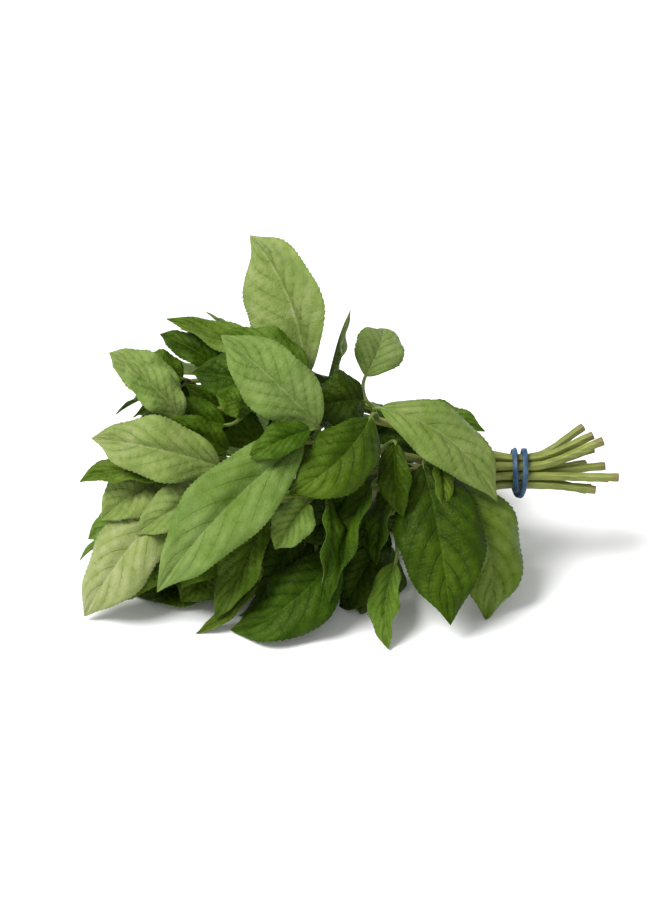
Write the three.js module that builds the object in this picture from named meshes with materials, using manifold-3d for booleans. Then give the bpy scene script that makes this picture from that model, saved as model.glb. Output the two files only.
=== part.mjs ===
// A bunch of fresh large-leaved basil, lying on its side, held by a rubber band wound twice round its stems.
//
// Millimetres, +Z up. X runs along the bunch, towards the cut ends, and Y runs away from its front. The
// origin is on the surface under the middle of the bunch.
//
// Places in the bunch are given from the middle of the band as [along, rise, out]: along the bunch, up the
// slope of its front, and square out of that slope.

import * as THREE from 'three';
import Module from 'manifold-3d';

const wasm = await Module();
wasm.setup();

// ---- driving dimensions ----

const BAND_ABOVE_SURFACE = 42;
const FRONT_SLOPE = THREE.MathUtils.degToRad(35);

const STEM_SIDES = 6;
const STEM_FLAT = 0.9; // across the flats, as a share of across the corners: basil stems are square
const STEM_PITCH = 1.88; // half the distance between two stems that touch, in the band
const STEM_THINNING = 0.5; // thickness left at the tip
const STEM_STEPS = 2; // steps between two joints of a stem

const STALK_HALF = 0.95;
const YOUNG_STALK = 0.75; // its thickness, as a share of an older one's
const BLADE_THICKNESS = 0.8;
const BLADE_START = 0.03; // where the stalk ends, as a share of the blade's length
const LEAST_HALF = 0.4; // half the width of a blade's tip
const RIB_DEPTH = 0.5;
const TOOTH = 0.05; // depth of a tooth, as a share of half the width
const OTHER_EDGE = 0.4; // how far the ripple of one edge is ahead of the other's, in waves
const BLADE_STEPS = { large: 9, middle: 6, young: 4 };
const STALK_STEPS = { large: 2, middle: 2, young: 1 };

const BAND_RADIUS = 7.85; // inside
const BAND_WIDTH = 2.2;
const BAND_THICKNESS = 1.3;
const BAND_SPACING = 2.0; // from the middle of the band to the middle of each turn
const BAND_STEPS = 20; // in each turn
const BAND_CORNERS = 8;
const BAND_ROUND = 1.05; // the corners' reach, so that the flats between them are at the full width
const BAND_HOP = 1.65; // how far the band rises to cross over itself
const BAND_CROSSING = 0.45; // half the length of that rise, in radians
const BAND_SWITCH = 3; // how quickly it goes from one turn to the other

const LEAST_STEP = 0.02; // finer detail than this is left out where leaves join
const GAP = 0.35; // least distance between two stems' leaves
const REST_HEIGHT = 0.35; // the middle of a blade that lies on the surface
const REST_SOFTNESS = 1.6;
const LAYING_REACH = 1.3; // how high above the surface a blade starts to turn flat, in half-widths

const LEAF_GREEN = 0x5f7f2c;
const BAND_BLUE = 0x2f5573;

// ---- places ----

const UP = new THREE.Vector3(0, 0, 1);
const RISE = new THREE.Vector3(0, Math.sin(FRONT_SLOPE), Math.cos(FRONT_SLOPE));
const OUT = new THREE.Vector3(0, -Math.cos(FRONT_SLOPE), Math.sin(FRONT_SLOPE));

function direction([along, rise, out]) {
  return new THREE.Vector3(along, 0, 0).addScaledVector(RISE, rise).addScaledVector(OUT, out);
}

function place(spot) {
  return direction(spot).addScaledVector(UP, BAND_ABOVE_SURFACE);
}

// A number from 0 to 1 that differs for each count, and is the same each time.
function share(count) {
  return (count * 0.618034 + 0.31) % 1;
}

// ---- stems ----

// seat: degrees round the bundle, 0 facing out and 90 up the rise; inner stems fill the middle.
// cut: how far past the band the stem was cut. drift: where the cut end has spread to, [rise, out].
// joints: where its pairs of leaves grow, out to the tip.
const STEMS = [
  { seat: 60, inner: false, half: 1.75, cut: 29, drift: [9.3, 3],
    joints: [[-30, 12, 8], [-57, 20, 14], [-84, 25, 16], [-108, 25, 18], [-128, 24, 17]] },
  { seat: 20, inner: false, half: 1.8, cut: 32.5, drift: [10, 5],
    joints: [[-30, 3, 10], [-56, 8, 17], [-84, 12, 21], [-110, 5, 22], [-130, 2, 20]] },
  { seat: 340, inner: false, half: 1.7, cut: 38.5, drift: [-0.5, 6],
    joints: [[-26, -4, 9], [-52, -7, 14], [-80, -10, 19], [-106, -12, 21], [-128, -11, 18]] },
  { seat: 300, inner: false, half: 1.75, cut: 30, drift: [-2.5, 3],
    joints: [[-28, -9, 5], [-54, -17, 8], [-82, -25, 10], [-108, -28, 11], [-130, -27, 9]] },
  { seat: 260, inner: false, half: 1.6, cut: 29, drift: [-1, -1],
    joints: [[-28, -11, -3], [-56, -18, -5], [-84, -24, -6], [-110, -27, -6], [-132, -27, -4]] },
  { seat: 220, inner: false, half: 1.75, cut: 28, drift: [-4, -6],
    joints: [[-28, -8, -9], [-54, -12, -17], [-80, -15, -25], [-106, -18, -27], [-126, -19, -26]] },
  { seat: 180, inner: false, half: 1.65, cut: 28, drift: [3, -8],
    joints: [[-28, 1, -12], [-54, 2, -24], [-82, 3, -32], [-108, 3, -34], [-128, 4, -32]] },
  { seat: 140, inner: false, half: 1.8, cut: 30, drift: [6, -6],
    joints: [[-26, 9, -9], [-52, 18, -17], [-80, 25, -23], [-104, 28, -24], [-126, 30, -21]] },
  { seat: 100, inner: false, half: 1.7, cut: 26, drift: [12, -2],
    joints: [[-30, 13, 0], [-60, 26, 0], [-86, 33, 0], [-112, 36, 0], [-132, 36, 1]] },
  { seat: 0, inner: true, half: 1.7, cut: 34, drift: [2, 2],
    joints: [[-32, 1, 3], [-62, 0, 6], [-92, 1, 9], [-120, 0, 11], [-142, 1, 11]] },
  { seat: 120, inner: true, half: 1.65, cut: 30, drift: [7, 0],
    joints: [[-32, 3, -2], [-62, 9, -4], [-92, 14, -6], [-120, 17, -6], [-142, 19, -4]] },
  { seat: 240, inner: true, half: 1.7, cut: 36, drift: [-1, -2],
    joints: [[-32, -4, -2], [-62, -7, -6], [-90, -9, -10], [-118, -11, -10], [-140, -13, -7]] },
];

const INNER_RING = 1.17; // in stem pitches
const OUTER_RING = 3.05;

function seatOf(stem) {
  const radius = STEM_PITCH * (stem.inner ? INNER_RING : OUTER_RING);
  const angle = THREE.MathUtils.degToRad(stem.seat);
  return [radius * Math.sin(angle), radius * Math.cos(angle)];
}

// The points that a stem runs through: its cut end, two points in the band, and its joints.
function stemPoints(stem) {
  const [rise, out] = seatOf(stem);
  const [riseDrift, outDrift] = stem.drift;
  return [
    place([stem.cut, rise + riseDrift, out + outDrift]),
    place([6, rise, out]),
    place([-6, rise, out]),
    ...stem.joints.map(place),
  ];
}

const FIRST_JOINT = 3; // its index among a stem's points

// A point on a smooth curve through the points, at a count of points from the first one.
function onCurve(points, count) {
  const last = points.length - 1;
  const index = Math.min(Math.floor(count), last - 1);
  const t = count - index;
  const before = points[Math.max(index - 1, 0)];
  const start = points[index];
  const end = points[index + 1];
  const after = points[Math.min(index + 2, last)];
  const weights = [
    [before, (-t * t * t + 2 * t * t - t) / 2],
    [start, (3 * t * t * t - 5 * t * t + 2) / 2],
    [end, (-3 * t * t * t + 4 * t * t + t) / 2],
    [after, (t * t * t - t * t) / 2],
  ];
  const point = new THREE.Vector3();
  for (const [corner, weight] of weights) point.addScaledVector(corner, weight);
  return point;
}

// ---- solids ----

// Closes rings of points, which run the same way round, into one solid.
function skin(rings, caps, swapped = []) {
  const size = rings[0].length;
  const vertices = rings.flat().flatMap((point) => [point.x, point.y, point.z]);
  const triangles = [];
  for (let ring = 0; ring < rings.length - 1; ring++) {
    for (let side = 0; side < size; side++) {
      const a = ring * size + side;
      const b = ring * size + (side + 1) % size;
      const c = b + size;
      const d = a + size;
      if (swapped.includes(side)) triangles.push(a, b, d, b, c, d);
      else triangles.push(a, b, c, a, c, d);
    }
  }
  const end = (rings.length - 1) * size;
  for (const [a, b, c] of caps) triangles.push(c, b, a, end + a, end + b, end + c);
  const mesh = new wasm.Mesh({
    numProp: 3,
    vertProperties: new Float32Array(vertices),
    triVerts: new Uint32Array(triangles),
  });
  return new wasm.Manifold(mesh);
}

function fanCaps(size) {
  return Array.from({ length: size - 2 }, (_, corner) => [0, corner + 1, corner + 2]);
}

function stemSolid(stem) {
  const points = stemPoints(stem);
  const counts = [0, 1];
  for (let step = 0; step <= (points.length - 3) * STEM_STEPS; step++) counts.push(2 + step / STEM_STEPS);
  const rings = counts.map((count) => {
    const here = onCurve(points, count);
    const ahead = onCurve(points, Math.min(count + 0.05, points.length - 1));
    const behind = onCurve(points, Math.max(count - 0.05, 0));
    const tangent = ahead.sub(behind).normalize();
    const side = new THREE.Vector3().crossVectors(UP, tangent).normalize();
    const top = new THREE.Vector3().crossVectors(tangent, side);
    const done = count / (points.length - 1);
    const half = stem.half * (1 - (1 - STEM_THINNING) * done * done);
    return Array.from({ length: STEM_SIDES }, (_, corner) => {
      const angle = (corner + 0.5) * 2 * Math.PI / STEM_SIDES;
      const reach = half * (corner % 2 ? STEM_FLAT : 1);
      return here.clone()
        .addScaledVector(side, reach * Math.cos(angle))
        .addScaledVector(top, reach * Math.sin(angle));
    });
  });
  return skin(rings, fanCaps(STEM_SIDES));
}

// ---- leaves ----

// The half-width of a basil leaf along its length, from 0 to 1: wedge-shaped base, widest before the middle.
function outline(t) {
  return 3.211 * t ** 0.75 * (1 - t) ** 0.95;
}

// Heights below the resting height end up on the surface.
function settle(z) {
  const above = (z - REST_HEIGHT) / REST_SOFTNESS;
  return above > 20 ? z : REST_HEIGHT + REST_SOFTNESS * Math.log1p(Math.exp(above));
}

// The fixed directions of a leaf: chord from base to tip, face square to it, side square to both.
function leafAxes(leaf) {
  const chord = leaf.tip.clone().sub(leaf.base);
  const along = chord.clone().normalize();
  const face = leaf.face.clone().addScaledVector(along, -leaf.face.dot(along)).normalize();
  const side = new THREE.Vector3().crossVectors(along, face);
  return { chord, face, side, length: chord.length() };
}

function midrib(leaf, axes, t) {
  const bulge = 4 * t * (1 - t) * axes.length;
  const point = leaf.base.clone()
    .addScaledVector(axes.chord, t)
    .addScaledVector(axes.face, leaf.arch * bulge - leaf.curl * axes.length * t ** 3)
    .addScaledVector(axes.side, leaf.sway * bulge);
  point.z = settle(point.z);
  return point;
}

// The blade's own directions at t: along the midrib, square out of its face, and across it. Where the blade
// nears the surface, its face turns flat.
function bladeFrame(leaf, axes, t) {
  const here = midrib(leaf, axes, t);
  const tangent = midrib(leaf, axes, t + 0.01).sub(midrib(leaf, axes, t - 0.01)).normalize();
  const turn = leaf.twist * (t - 0.4);
  const face = axes.face.clone().multiplyScalar(Math.cos(turn)).addScaledVector(axes.side, Math.sin(turn));
  const half = leaf.width / 2 * outline(Math.min(Math.max(t, 0.02), 0.995));
  const laid = Math.min(Math.max(1 - (here.z - REST_HEIGHT) / (LAYING_REACH * half + 1), 0), 1);
  face.lerp(UP.clone().multiplyScalar(face.z < 0 ? -1 : 1), laid);
  face.addScaledVector(tangent, -face.dot(tangent)).normalize();
  const across = new THREE.Vector3().crossVectors(tangent, face);
  return { here, tangent, face, across, half };
}

// A point of the blade's middle layer: v runs from -1 at one edge to 1 at the other.
function bladePoint(leaf, frame, t, v, half) {
  const fold = leaf.fold * (1 - 0.5 * t);
  const reach = half * Math.abs(v);
  const ripple = Math.sin(2 * Math.PI * (leaf.waves * t + (v > 0 ? 0 : OTHER_EDGE) + leaf.phase));
  const lift = reach * Math.sin(fold) + leaf.wave * ripple * v * v * Math.min(half / 6, 1);
  return frame.here.clone()
    .addScaledVector(frame.across, half * v * Math.cos(fold))
    .addScaledVector(frame.face, lift);
}

// A ring of six points round the leaf: left, middle and right on top, then back underneath.
function leafRing(left, middle, right, face, thickness, rib) {
  const raise = (point, by) => point.clone().addScaledVector(face, by);
  const half = thickness / 2;
  return [
    raise(left, half), raise(middle, half), raise(right, half),
    raise(right, -half), raise(middle, -half - rib), raise(left, -half),
  ];
}

// Nothing goes below the surface, and a blade pressed to it keeps its thickness.
function pressRing(ring, face) {
  const top = face.z >= 0 ? [0, 1, 2] : [3, 4, 5];
  ring.forEach((point, corner) => {
    point.z = Math.max(point.z, top.includes(corner) ? BLADE_THICKNESS : 0);
  });
  return ring;
}

function bladeRings(leaf) {
  const axes = leafAxes(leaf);
  const steps = BLADE_STEPS[leaf.size];
  return Array.from({ length: steps + 1 }, (_, step) => {
    const t = BLADE_START + (1 - BLADE_START) * (step / steps) ** 0.9;
    const frame = bladeFrame(leaf, axes, t);
    const tooth = step > 0 && step < steps ? 1 + TOOTH * (step % 2 ? 1 : -1) : 1;
    const half = Math.max(frame.half * tooth, LEAST_HALF);
    const [left, middle, right] = [-1, 0, 1].map((v) => bladePoint(leaf, frame, t, v, half));
    const rib = RIB_DEPTH * (1 - t);
    return pressRing(leafRing(left, middle, right, frame.face, BLADE_THICKNESS, rib), frame.face);
  });
}

// The stalk bends from the middle of the stem into the line of the blade.
function stalkRings(leaf) {
  const axes = leafAxes(leaf);
  const frame = bladeFrame(leaf, axes, BLADE_START);
  const reach = frame.here.distanceTo(leaf.root);
  const bend = frame.here.clone().addScaledVector(frame.tangent, -0.5 * reach);
  const steps = STALK_STEPS[leaf.size];
  const rings = [];
  let face = frame.face;
  for (let step = steps - 1; step >= 0; step--) {
    const u = step / steps;
    const here = leaf.root.clone().multiplyScalar((1 - u) ** 2)
      .addScaledVector(bend, 2 * u * (1 - u))
      .addScaledVector(frame.here, u * u);
    const tangent = bend.clone().sub(leaf.root).multiplyScalar(1 - u)
      .addScaledVector(frame.here.clone().sub(bend), u).normalize();
    face = face.clone().addScaledVector(tangent, -face.dot(tangent)).normalize();
    const across = new THREE.Vector3().crossVectors(tangent, face);
    const half = STALK_HALF * (leaf.size === 'young' ? YOUNG_STALK : 1);
    const left = here.clone().addScaledVector(across, -half);
    const right = here.clone().addScaledVector(across, half);
    rings.unshift(leafRing(left, here, right, face, 1.4 * half, 0.3));
  }
  return rings;
}

const LEAF_CAPS = [[0, 1, 5], [1, 4, 5], [1, 2, 4], [2, 3, 4]];
const UNDERSIDE = [3, 4]; // its faces are split as those on top are

function leafSolid(rings) {
  return skin(rings, LEAF_CAPS, UNDERSIDE);
}

// ---- where each leaf is ----

const RAD = Math.PI / 180;

// What a leaf has unless its row says otherwise. arch, sway and curl are shares of its length. fold and
// twist are degrees, and a negative fold turns the edges down. wave is the height of the ripple along its
// edges, and waves is how many there are.
const PLAIN = {
  arch: 0.1, sway: 0, curl: 0, fold: 14, twist: 0, wave: 1.2, waves: 2.5, phase: 0, size: 'large',
};

// Leaves that were laid by hand, at a stem's joint and on one side of it. The rest follow a rule.
const LAID = [
  // the two leaves at the front, over the stems
  { stem: 0, joint: 1, side: 0, base: [-56, 25, 27], tip: [-10, -12, 21], width: 24, face: [0.2, 0.3, 1],
    arch: 0.12, sway: -0.085, fold: -10, twist: 10 },
  { stem: 0, joint: 1, side: 1, base: [-60, 21, 29], tip: [-92, -9, 36], width: 26, face: [0.1, 0.25, 1],
    arch: 0.13, sway: -0.1, fold: -10, wave: 1.8 },
  // the pair in the middle: one up and to the left, one down and to the left
  { stem: 1, joint: 2, side: 0, base: [-80, 17.5, 31], tip: [-118, 53, 32], width: 27, face: [0, -0.1, 1],
    arch: 0.12, sway: 0.03, fold: 12, wave: 1.4 },
  { stem: 1, joint: 2, side: 1, base: [-86, 12, 34], tip: [-143, -47, 29], width: 31, face: [-0.15, 0.1, 1],
    arch: 0.11, sway: 0.02, fold: 12, wave: 1.2 },
  { stem: 1, joint: 2, side: 2, base: [-83, 16, 36], tip: [-107, 4, 38], width: 14, face: [0, 0.4, 1],
    arch: 0.1, fold: 18, size: 'young' },
  // the tall leaf and its long arching neighbour
  { stem: 8, joint: 2, side: 0, base: [-85, 38, 6], tip: [-108, 94.8, -6], width: 38.5,
    face: [-0.55, -0.2, 1], arch: 0.03, sway: 0.11, fold: 25, wave: 0.8 },
  { stem: 8, joint: 2, side: 1, base: [-92, 40, 10], tip: [-141, 61, 4], width: 16, face: [0.1, 0.7, 0.8],
    arch: 0.04, fold: 20 },
  // the two large leaves that hang to the surface beside the band, and the curled one next to them
  { stem: 2, joint: 0, side: 0, base: [-28, -4, 16], tip: [-13.5, -60, 14], width: 32, face: [0.3, 0.1, 1],
    arch: 0.12, sway: -0.1, fold: -10, curl: 0.05, wave: 1.6 },
  { stem: 3, joint: 1, side: 0, base: [-50, -36, 17], tip: [-53, -70, 27], width: 14, face: [-0.5, 0.3, 1],
    arch: 0.05, sway: 0.05, fold: 25, twist: 40, wave: 1.5 },
  { stem: 2, joint: 0, side: 1, base: [-39, 3, 15], tip: [-28, -60, 17], width: 35, face: [-0.1, 0.2, 1],
    arch: 0.06, sway: -0.03, fold: -8, wave: 1.8 },
  // the leaves that hang from the front, below the middle
  { stem: 3, joint: 2, side: 0, base: [-73, -31, 19], tip: [-115, -63, 18], width: 28, face: [0.1, 0.3, 1],
    arch: 0.1, sway: -0.12, fold: -8, wave: 1.8 },
  { stem: 2, joint: 3, side: 0, base: [-100, -15, 27], tip: [-121, -58, 19], width: 19, face: [-0.5, 0.2, 1],
    arch: 0.06, sway: -0.05, fold: 18 },
  { stem: 3, joint: 3, side: 0, base: [-104, -42, 16], tip: [-129, -64, 20], width: 8, face: [-0.3, 0.4, 1],
    arch: 0.02, sway: -0.05, fold: 20, size: 'middle' },
  { stem: 4, joint: 3, side: 0, base: [-112, -43, -4], tip: [-154, -51, -1], width: 28, face: [0, 0.8, 0.6],
    arch: 0.02, fold: 6, wave: 0.8 },
  { stem: 2, joint: 2, side: 0, base: [-84, -12, 33], tip: [-97, -30, 36], width: 17, face: [0.1, 0.3, 1],
    arch: 0.15, fold: 25, size: 'middle' },
  { stem: 1, joint: 0, side: 0, base: [-33, 5, 19], tip: [-32, -16, 25], width: 9, face: [0.3, 0.1, 1],
    arch: 0.06, fold: 25, size: 'middle' },
  { stem: 1, joint: 1, side: 0, base: [-50, 11, 24], tip: [-47, -18, 27], width: 14, face: [-0.3, 0.1, 1],
    arch: 0.06, sway: 0.04, fold: 22, size: 'middle' },
  { stem: 2, joint: 1, side: 0, base: [-53, -5, 22], tip: [-58, -37, 26], width: 16, face: [-1, 0, 0.8],
    arch: 0.08, fold: 20, size: 'middle' },
  { stem: 2, joint: 1, side: 1, base: [-58, -5, 24], tip: [-72, -52, 24], width: 19, face: [-0.9, 0.2, 0.8],
    arch: 0.06, fold: 18, size: 'middle' },
  { stem: 2, joint: 2, side: 1, base: [-78, -10, 28], tip: [-78, -44, 29], width: 14, face: [1, 0, 0.7],
    arch: 0.06, fold: 20, size: 'middle' },
  { stem: 3, joint: 2, side: 1, base: [-79, -30, 14], tip: [-77, -64, 17], width: 16, face: [0.9, 0, 0.8],
    arch: 0.05, fold: 15, size: 'middle' },
  { stem: 3, joint: 1, side: 1, base: [-58, -30, 12], tip: [-74, -57, 13], width: 20, face: [0, 0.4, 1],
    arch: 0.08, fold: 15, size: 'middle' },
  { stem: 3, joint: 2, side: 2, base: [-88, -26, 13], tip: [-104, -52, 10], width: 24, face: [0, 0.2, 1],
    arch: 0.05, fold: 10, size: 'middle' },
  { stem: 3, joint: 1, side: 2, base: [-60, -18, 12], tip: [-66, -48, 8], width: 24, face: [0, 0.2, 1],
    arch: 0.05, fold: 10, size: 'middle' },
  { stem: 3, joint: 3, side: 1, base: [-116, -30, 12], tip: [-134, -52, 8], width: 22, face: [0, 0.3, 1],
    arch: 0.05, fold: 12, size: 'middle' },
  { stem: 2, joint: 1, side: 2, base: [-60, -8, 21], tip: [-93, -20, 24], width: 20, face: [0, -0.1, 1],
    arch: 0.06, fold: 12, size: 'middle' },
  { stem: 9, joint: 1, side: 0, base: [-50, 4, 12], tip: [-38, -26, 13], width: 24, face: [0, 0.2, 1],
    arch: 0.05, fold: 10, size: 'middle' },
  { stem: 9, joint: 1, side: 1, base: [-61, 14, 12], tip: [-34, 17, 14], width: 22, face: [0, 0.5, 1],
    arch: 0.05, fold: 12, size: 'middle' },
  // the left end, from the surface up
  { stem: 2, joint: 4, side: 0, base: [-138, -12, 23], tip: [-173, -58, 12], width: 28, face: [-0.3, 0.2, 1],
    arch: 0.1, fold: -8 },
  { stem: 1, joint: 3, side: 0, base: [-118, 2, 32], tip: [-169, 13, 24], width: 25, face: [-0.1, 0.1, 1],
    arch: 0.1, sway: 0.02, fold: 16, wave: 1.8 },
  { stem: 1, joint: 4, side: 0, base: [-138, -3, 27], tip: [-174, -4, 20], width: 15, face: [0, 0.7, 1],
    arch: 0.08, sway: 0.08, fold: 25, size: 'middle' },
  { stem: 1, joint: 3, side: 1, base: [-118, -5, 30], tip: [-152, -24, 28], width: 19, face: [-0.2, 0.2, 1],
    arch: 0.1, fold: 20, wave: 1.8, size: 'middle' },
  { stem: 3, joint: 4, side: 0, base: [-138, -27, 12], tip: [-160, -52, 8], width: 20, face: [-0.3, 0.4, 1],
    arch: 0.08, fold: 14, size: 'middle' },
  { stem: 11, joint: 4, side: 0, base: [-146, -15, 8], tip: [-172, -27, 6], width: 17, face: [-0.5, 0.3, 1],
    arch: 0.1, fold: 15, size: 'middle' },
  { stem: 11, joint: 4, side: 1, base: [-148, -18, 0], tip: [-177, -33, 3], width: 9, face: [0, 1, 0.4],
    arch: 0.08, fold: 30, size: 'middle' },
  { stem: 9, joint: 4, side: 0, base: [-148, 4, 14], tip: [-170, 2, 14], width: 9, face: [0, 1, 0.3],
    arch: 0.05, fold: 20, size: 'middle' },
  { stem: 9, joint: 4, side: 1, base: [-141, -2, 15], tip: [-168, -14, 17], width: 22, face: [-0.2, 0.3, 1],
    arch: 0.1, fold: 20, size: 'middle' },
  // the upper left
  { stem: 0, joint: 4, side: 0, base: [-134, 28, 22], tip: [-163, 47, 13], width: 18, face: [0, 0.3, 1],
    arch: 0.1, fold: 22, wave: 1.6, size: 'middle' },
  { stem: 0, joint: 4, side: 1, base: [-133, 21, 24], tip: [-160, 36, 22], width: 17, face: [0, 0.2, 1],
    arch: 0.1, fold: 22, wave: 1.6, size: 'middle' },
  { stem: 8, joint: 4, side: 0, base: [-134, 37, 4], tip: [-154, 43, 4], width: 16, face: [0, 0.3, 1],
    arch: 0.1, fold: 15, size: 'middle' },
  { stem: 8, joint: 3, side: 0, base: [-118, 40, 6], tip: [-146, 50, 2], width: 14, face: [0, 0.5, 1],
    arch: 0.1, fold: 20, size: 'middle' },
  { stem: 0, joint: 3, side: 0, base: [-106, 24, 27], tip: [-120, 30, 30], width: 13, face: [0.2, 0.1, 1],
    arch: 0.1, fold: 20, size: 'young' },
  { stem: 0, joint: 3, side: 1, base: [-116, 20, 26], tip: [-144, 24, 27], width: 19, face: [0, 0.4, 1],
    arch: 0.1, fold: 20, size: 'middle' },
  { stem: 0, joint: 2, side: 0, base: [-94, 32, 20], tip: [-130, 40, 18], width: 24, face: [0, 0.3, 1],
    arch: 0.08, fold: 14, size: 'middle' },
  { stem: 0, joint: 2, side: 1, base: [-84, 39, 17], tip: [-118, 55, 16], width: 18, face: [0, 0.5, 1],
    arch: 0.08, fold: 12, size: 'middle' },
  { stem: 10, joint: 2, side: 0, base: [-82, 22, 2], tip: [-100, 2, 4], width: 24, face: [0, 0.2, 1],
    arch: 0.08, fold: 12, size: 'middle' },
  { stem: 10, joint: 3, side: 0, base: [-124, 26, 2], tip: [-150, 34, 6], width: 20, face: [0, 0.3, 1],
    arch: 0.08, fold: 14, size: 'middle' },
  { stem: 11, joint: 2, side: 1, base: [-86, -15, -13], tip: [-79, -45, -16], width: 22, face: [0, 0.2, 1],
    arch: 0.1, fold: 12, size: 'middle' },
  // the thin ones and the dark ones behind the top
  { stem: 8, joint: 1, side: 0, base: [-61.5, 38, -3], tip: [-54.5, 58.5, -20], width: 20.5,
    face: [0.2, 0.5, 1], arch: 0.2, sway: 0.06, fold: 2, size: 'middle' },
  { stem: 0, joint: 1, side: 2, base: [-62, 28, 17], tip: [-82, 25, 21], width: 24, face: [0, 0.2, 1],
    arch: 0.15, fold: 12, size: 'middle' },
  { stem: 7, joint: 2, side: 0, base: [-75.5, 36, -14], tip: [-71.5, 65.5, -14], width: 9,
    face: [1, -0.1, 0.2], arch: 0.03, fold: 35, curl: -0.16, size: 'middle' },
  { stem: 7, joint: 1, side: 0, base: [-43, 24, -8], tip: [-13, 16, -5], width: 13, face: [0, 0.5, 1],
    arch: 0.08, fold: 15, size: 'middle' },
  { stem: 8, joint: 1, side: 2, base: [-66, 27, -9], tip: [-104, 27, -14], width: 24, face: [0, 1, 0.5],
    arch: 0.1, size: 'middle' },
  // the back: leaves that hang over the stems to the surface
  { stem: 7, joint: 0, side: 0, base: [-34, 12, -18], tip: [-20, -4, -58], width: 28, face: [0.1, 0.9, -0.3],
    arch: 0.15, fold: 12 },
  { stem: 5, joint: 0, side: 0, base: [-34, -8, -20], tip: [-30, -24, -50], width: 27, face: [-0.1, 0.5, -1],
    arch: 0.1, fold: 12 },
  { stem: 6, joint: 1, side: 0, base: [-56, 8, -36], tip: [-44, -4, -74], width: 30, face: [0.1, 0.9, -0.4],
    arch: 0.12, fold: 12 },
  { stem: 7, joint: 1, side: 1, base: [-58, 24, -26], tip: [-84, 14, -62], width: 30, face: [-0.2, 0.9, -0.4],
    arch: 0.12, fold: 12 },
];

// Where a leaf has been picked off: stem, joint and side.
const BARE = [
  '8 1 1', '10 1 0', '7 2 1', '7 3 1', '4 1 0', '0 2 2', '9 3 0', '10 4 1', '7 4 0', '10 4 0',
];

// Ways to bend a leaf clear, tried in turn: its tip lifted, its tip swung sideways, and how much of its size
// is left.
const BENDS = [
  [0, 0, 1], [3, 0, 1], [-3, 0, 1], [6, 0, 1], [-6, 0, 1], [0, 6, 1], [0, -6, 1], [9, 0, 1], [-9, 0, 1],
  [5, 8, 1], [5, -8, 1], [-5, 8, 1], [-5, -8, 1], [13, 0, 1], [-13, 0, 1], [10, 12, 0.95], [10, -12, 0.95],
  [-10, 12, 0.95], [-10, -12, 0.95], [18, 0, 0.9], [-18, 0, 0.9], [0, 0, 0.75], [7, 8, 0.75], [7, -8, 0.75],
  [-7, 8, 0.75], [-7, -8, 0.75], [14, 0, 0.7], [-14, 0, 0.7], [0, 14, 0.7], [0, -14, 0.7],
];

function laidLeaf(row) {
  const given = { ...PLAIN, ...row };
  return {
    ...given,
    laid: true,
    root: place(STEMS[row.stem].joints[row.joint]),
    base: place(row.base),
    tip: place(row.tip),
    face: direction(given.face),
    fold: given.fold * RAD,
    twist: given.twist * RAD,
  };
}

// How the leaves at each joint stand when no row says so: shares of four directions, then lengths.
const HABIT = [
  { forward: -0.1, reach: 0.3, outward: 0.4, up: -0.8, length: 46, stalk: 14, size: 'middle' },
  { forward: 0.15, reach: 0.75, outward: 0.45, up: -0.3, length: 60, stalk: 14, size: 'middle' },
  { forward: 0.6, reach: 0.65, outward: 0.35, up: -0.15, length: 58, stalk: 12, size: 'middle' },
  { forward: 0.8, reach: 0.6, outward: 0.3, up: -0.1, length: 48, stalk: 10, size: 'middle' },
  { forward: 0.9, reach: 0.45, outward: 0.15, up: 0, length: 27, stalk: 5, size: 'young' },
];
const SHOOT = { forward: 0.75, reach: 0.6, outward: 0.1, up: 0, length: 30, stalk: 6, size: 'young' };

// A leaf that no row describes. Sides 0 and 1 are the joint's pair, and 2 and 3 the pair of its side shoot.
function ruledLeaf(stemIndex, joint, side, count) {
  const stem = STEMS[stemIndex];
  const habit = side < 2 ? HABIT[joint] : SHOOT;
  const points = stemPoints(stem);
  const root = place(stem.joints[joint]);
  const index = FIRST_JOINT + joint;
  const forward = onCurve(points, Math.min(index + 0.1, points.length - 1))
    .sub(onCurve(points, index - 0.1)).normalize();
  const outward = root.clone().sub(place([stem.joints[joint][0], 4, 0])).normalize();
  const tangent = new THREE.Vector3().crossVectors(forward, outward).normalize();
  const angle = (stem.seat + 90 * joint + 180 * side + (side < 2 ? 0 : 90) + 50 * (share(count) - 0.5)) * RAD;
  const reach = tangent.clone().multiplyScalar(Math.cos(angle)).addScaledVector(outward, Math.sin(angle));
  const lie = forward.clone().multiplyScalar(habit.forward)
    .addScaledVector(reach, habit.reach)
    .addScaledVector(outward, habit.outward)
    .addScaledVector(UP, habit.up)
    .normalize();
  const length = habit.length * (0.85 + 0.3 * share(count + 7));
  const base = root.clone().addScaledVector(lie, habit.stalk);
  return {
    ...PLAIN,
    stem: stemIndex, joint, side, root, base,
    tip: base.clone().addScaledVector(lie, length),
    face: outward.clone().addScaledVector(UP, 0.3).addScaledVector(reach, -0.3),
    width: length * (0.42 + 0.08 * share(count + 3)),
    arch: 0.05 + 0.1 * share(count + 5),
    sway: 0.08 * (share(count + 11) - 0.5),
    fold: (8 + 26 * share(count + 13)) * RAD,
    twist: 30 * (share(count + 17) - 0.5) * RAD,
    phase: share(count + 19),
    size: habit.size,
  };
}

function bent(leaf, [lift, swing, size]) {
  const { chord, face, side } = leafAxes(leaf);
  const base = leaf.base.clone().addScaledVector(face, 0.35 * lift);
  const tip = leaf.base.clone().addScaledVector(chord, size)
    .addScaledVector(face, lift)
    .addScaledVector(side, swing);
  return { ...leaf, base, tip, width: leaf.width * size };
}

// ---- band ----

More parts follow.
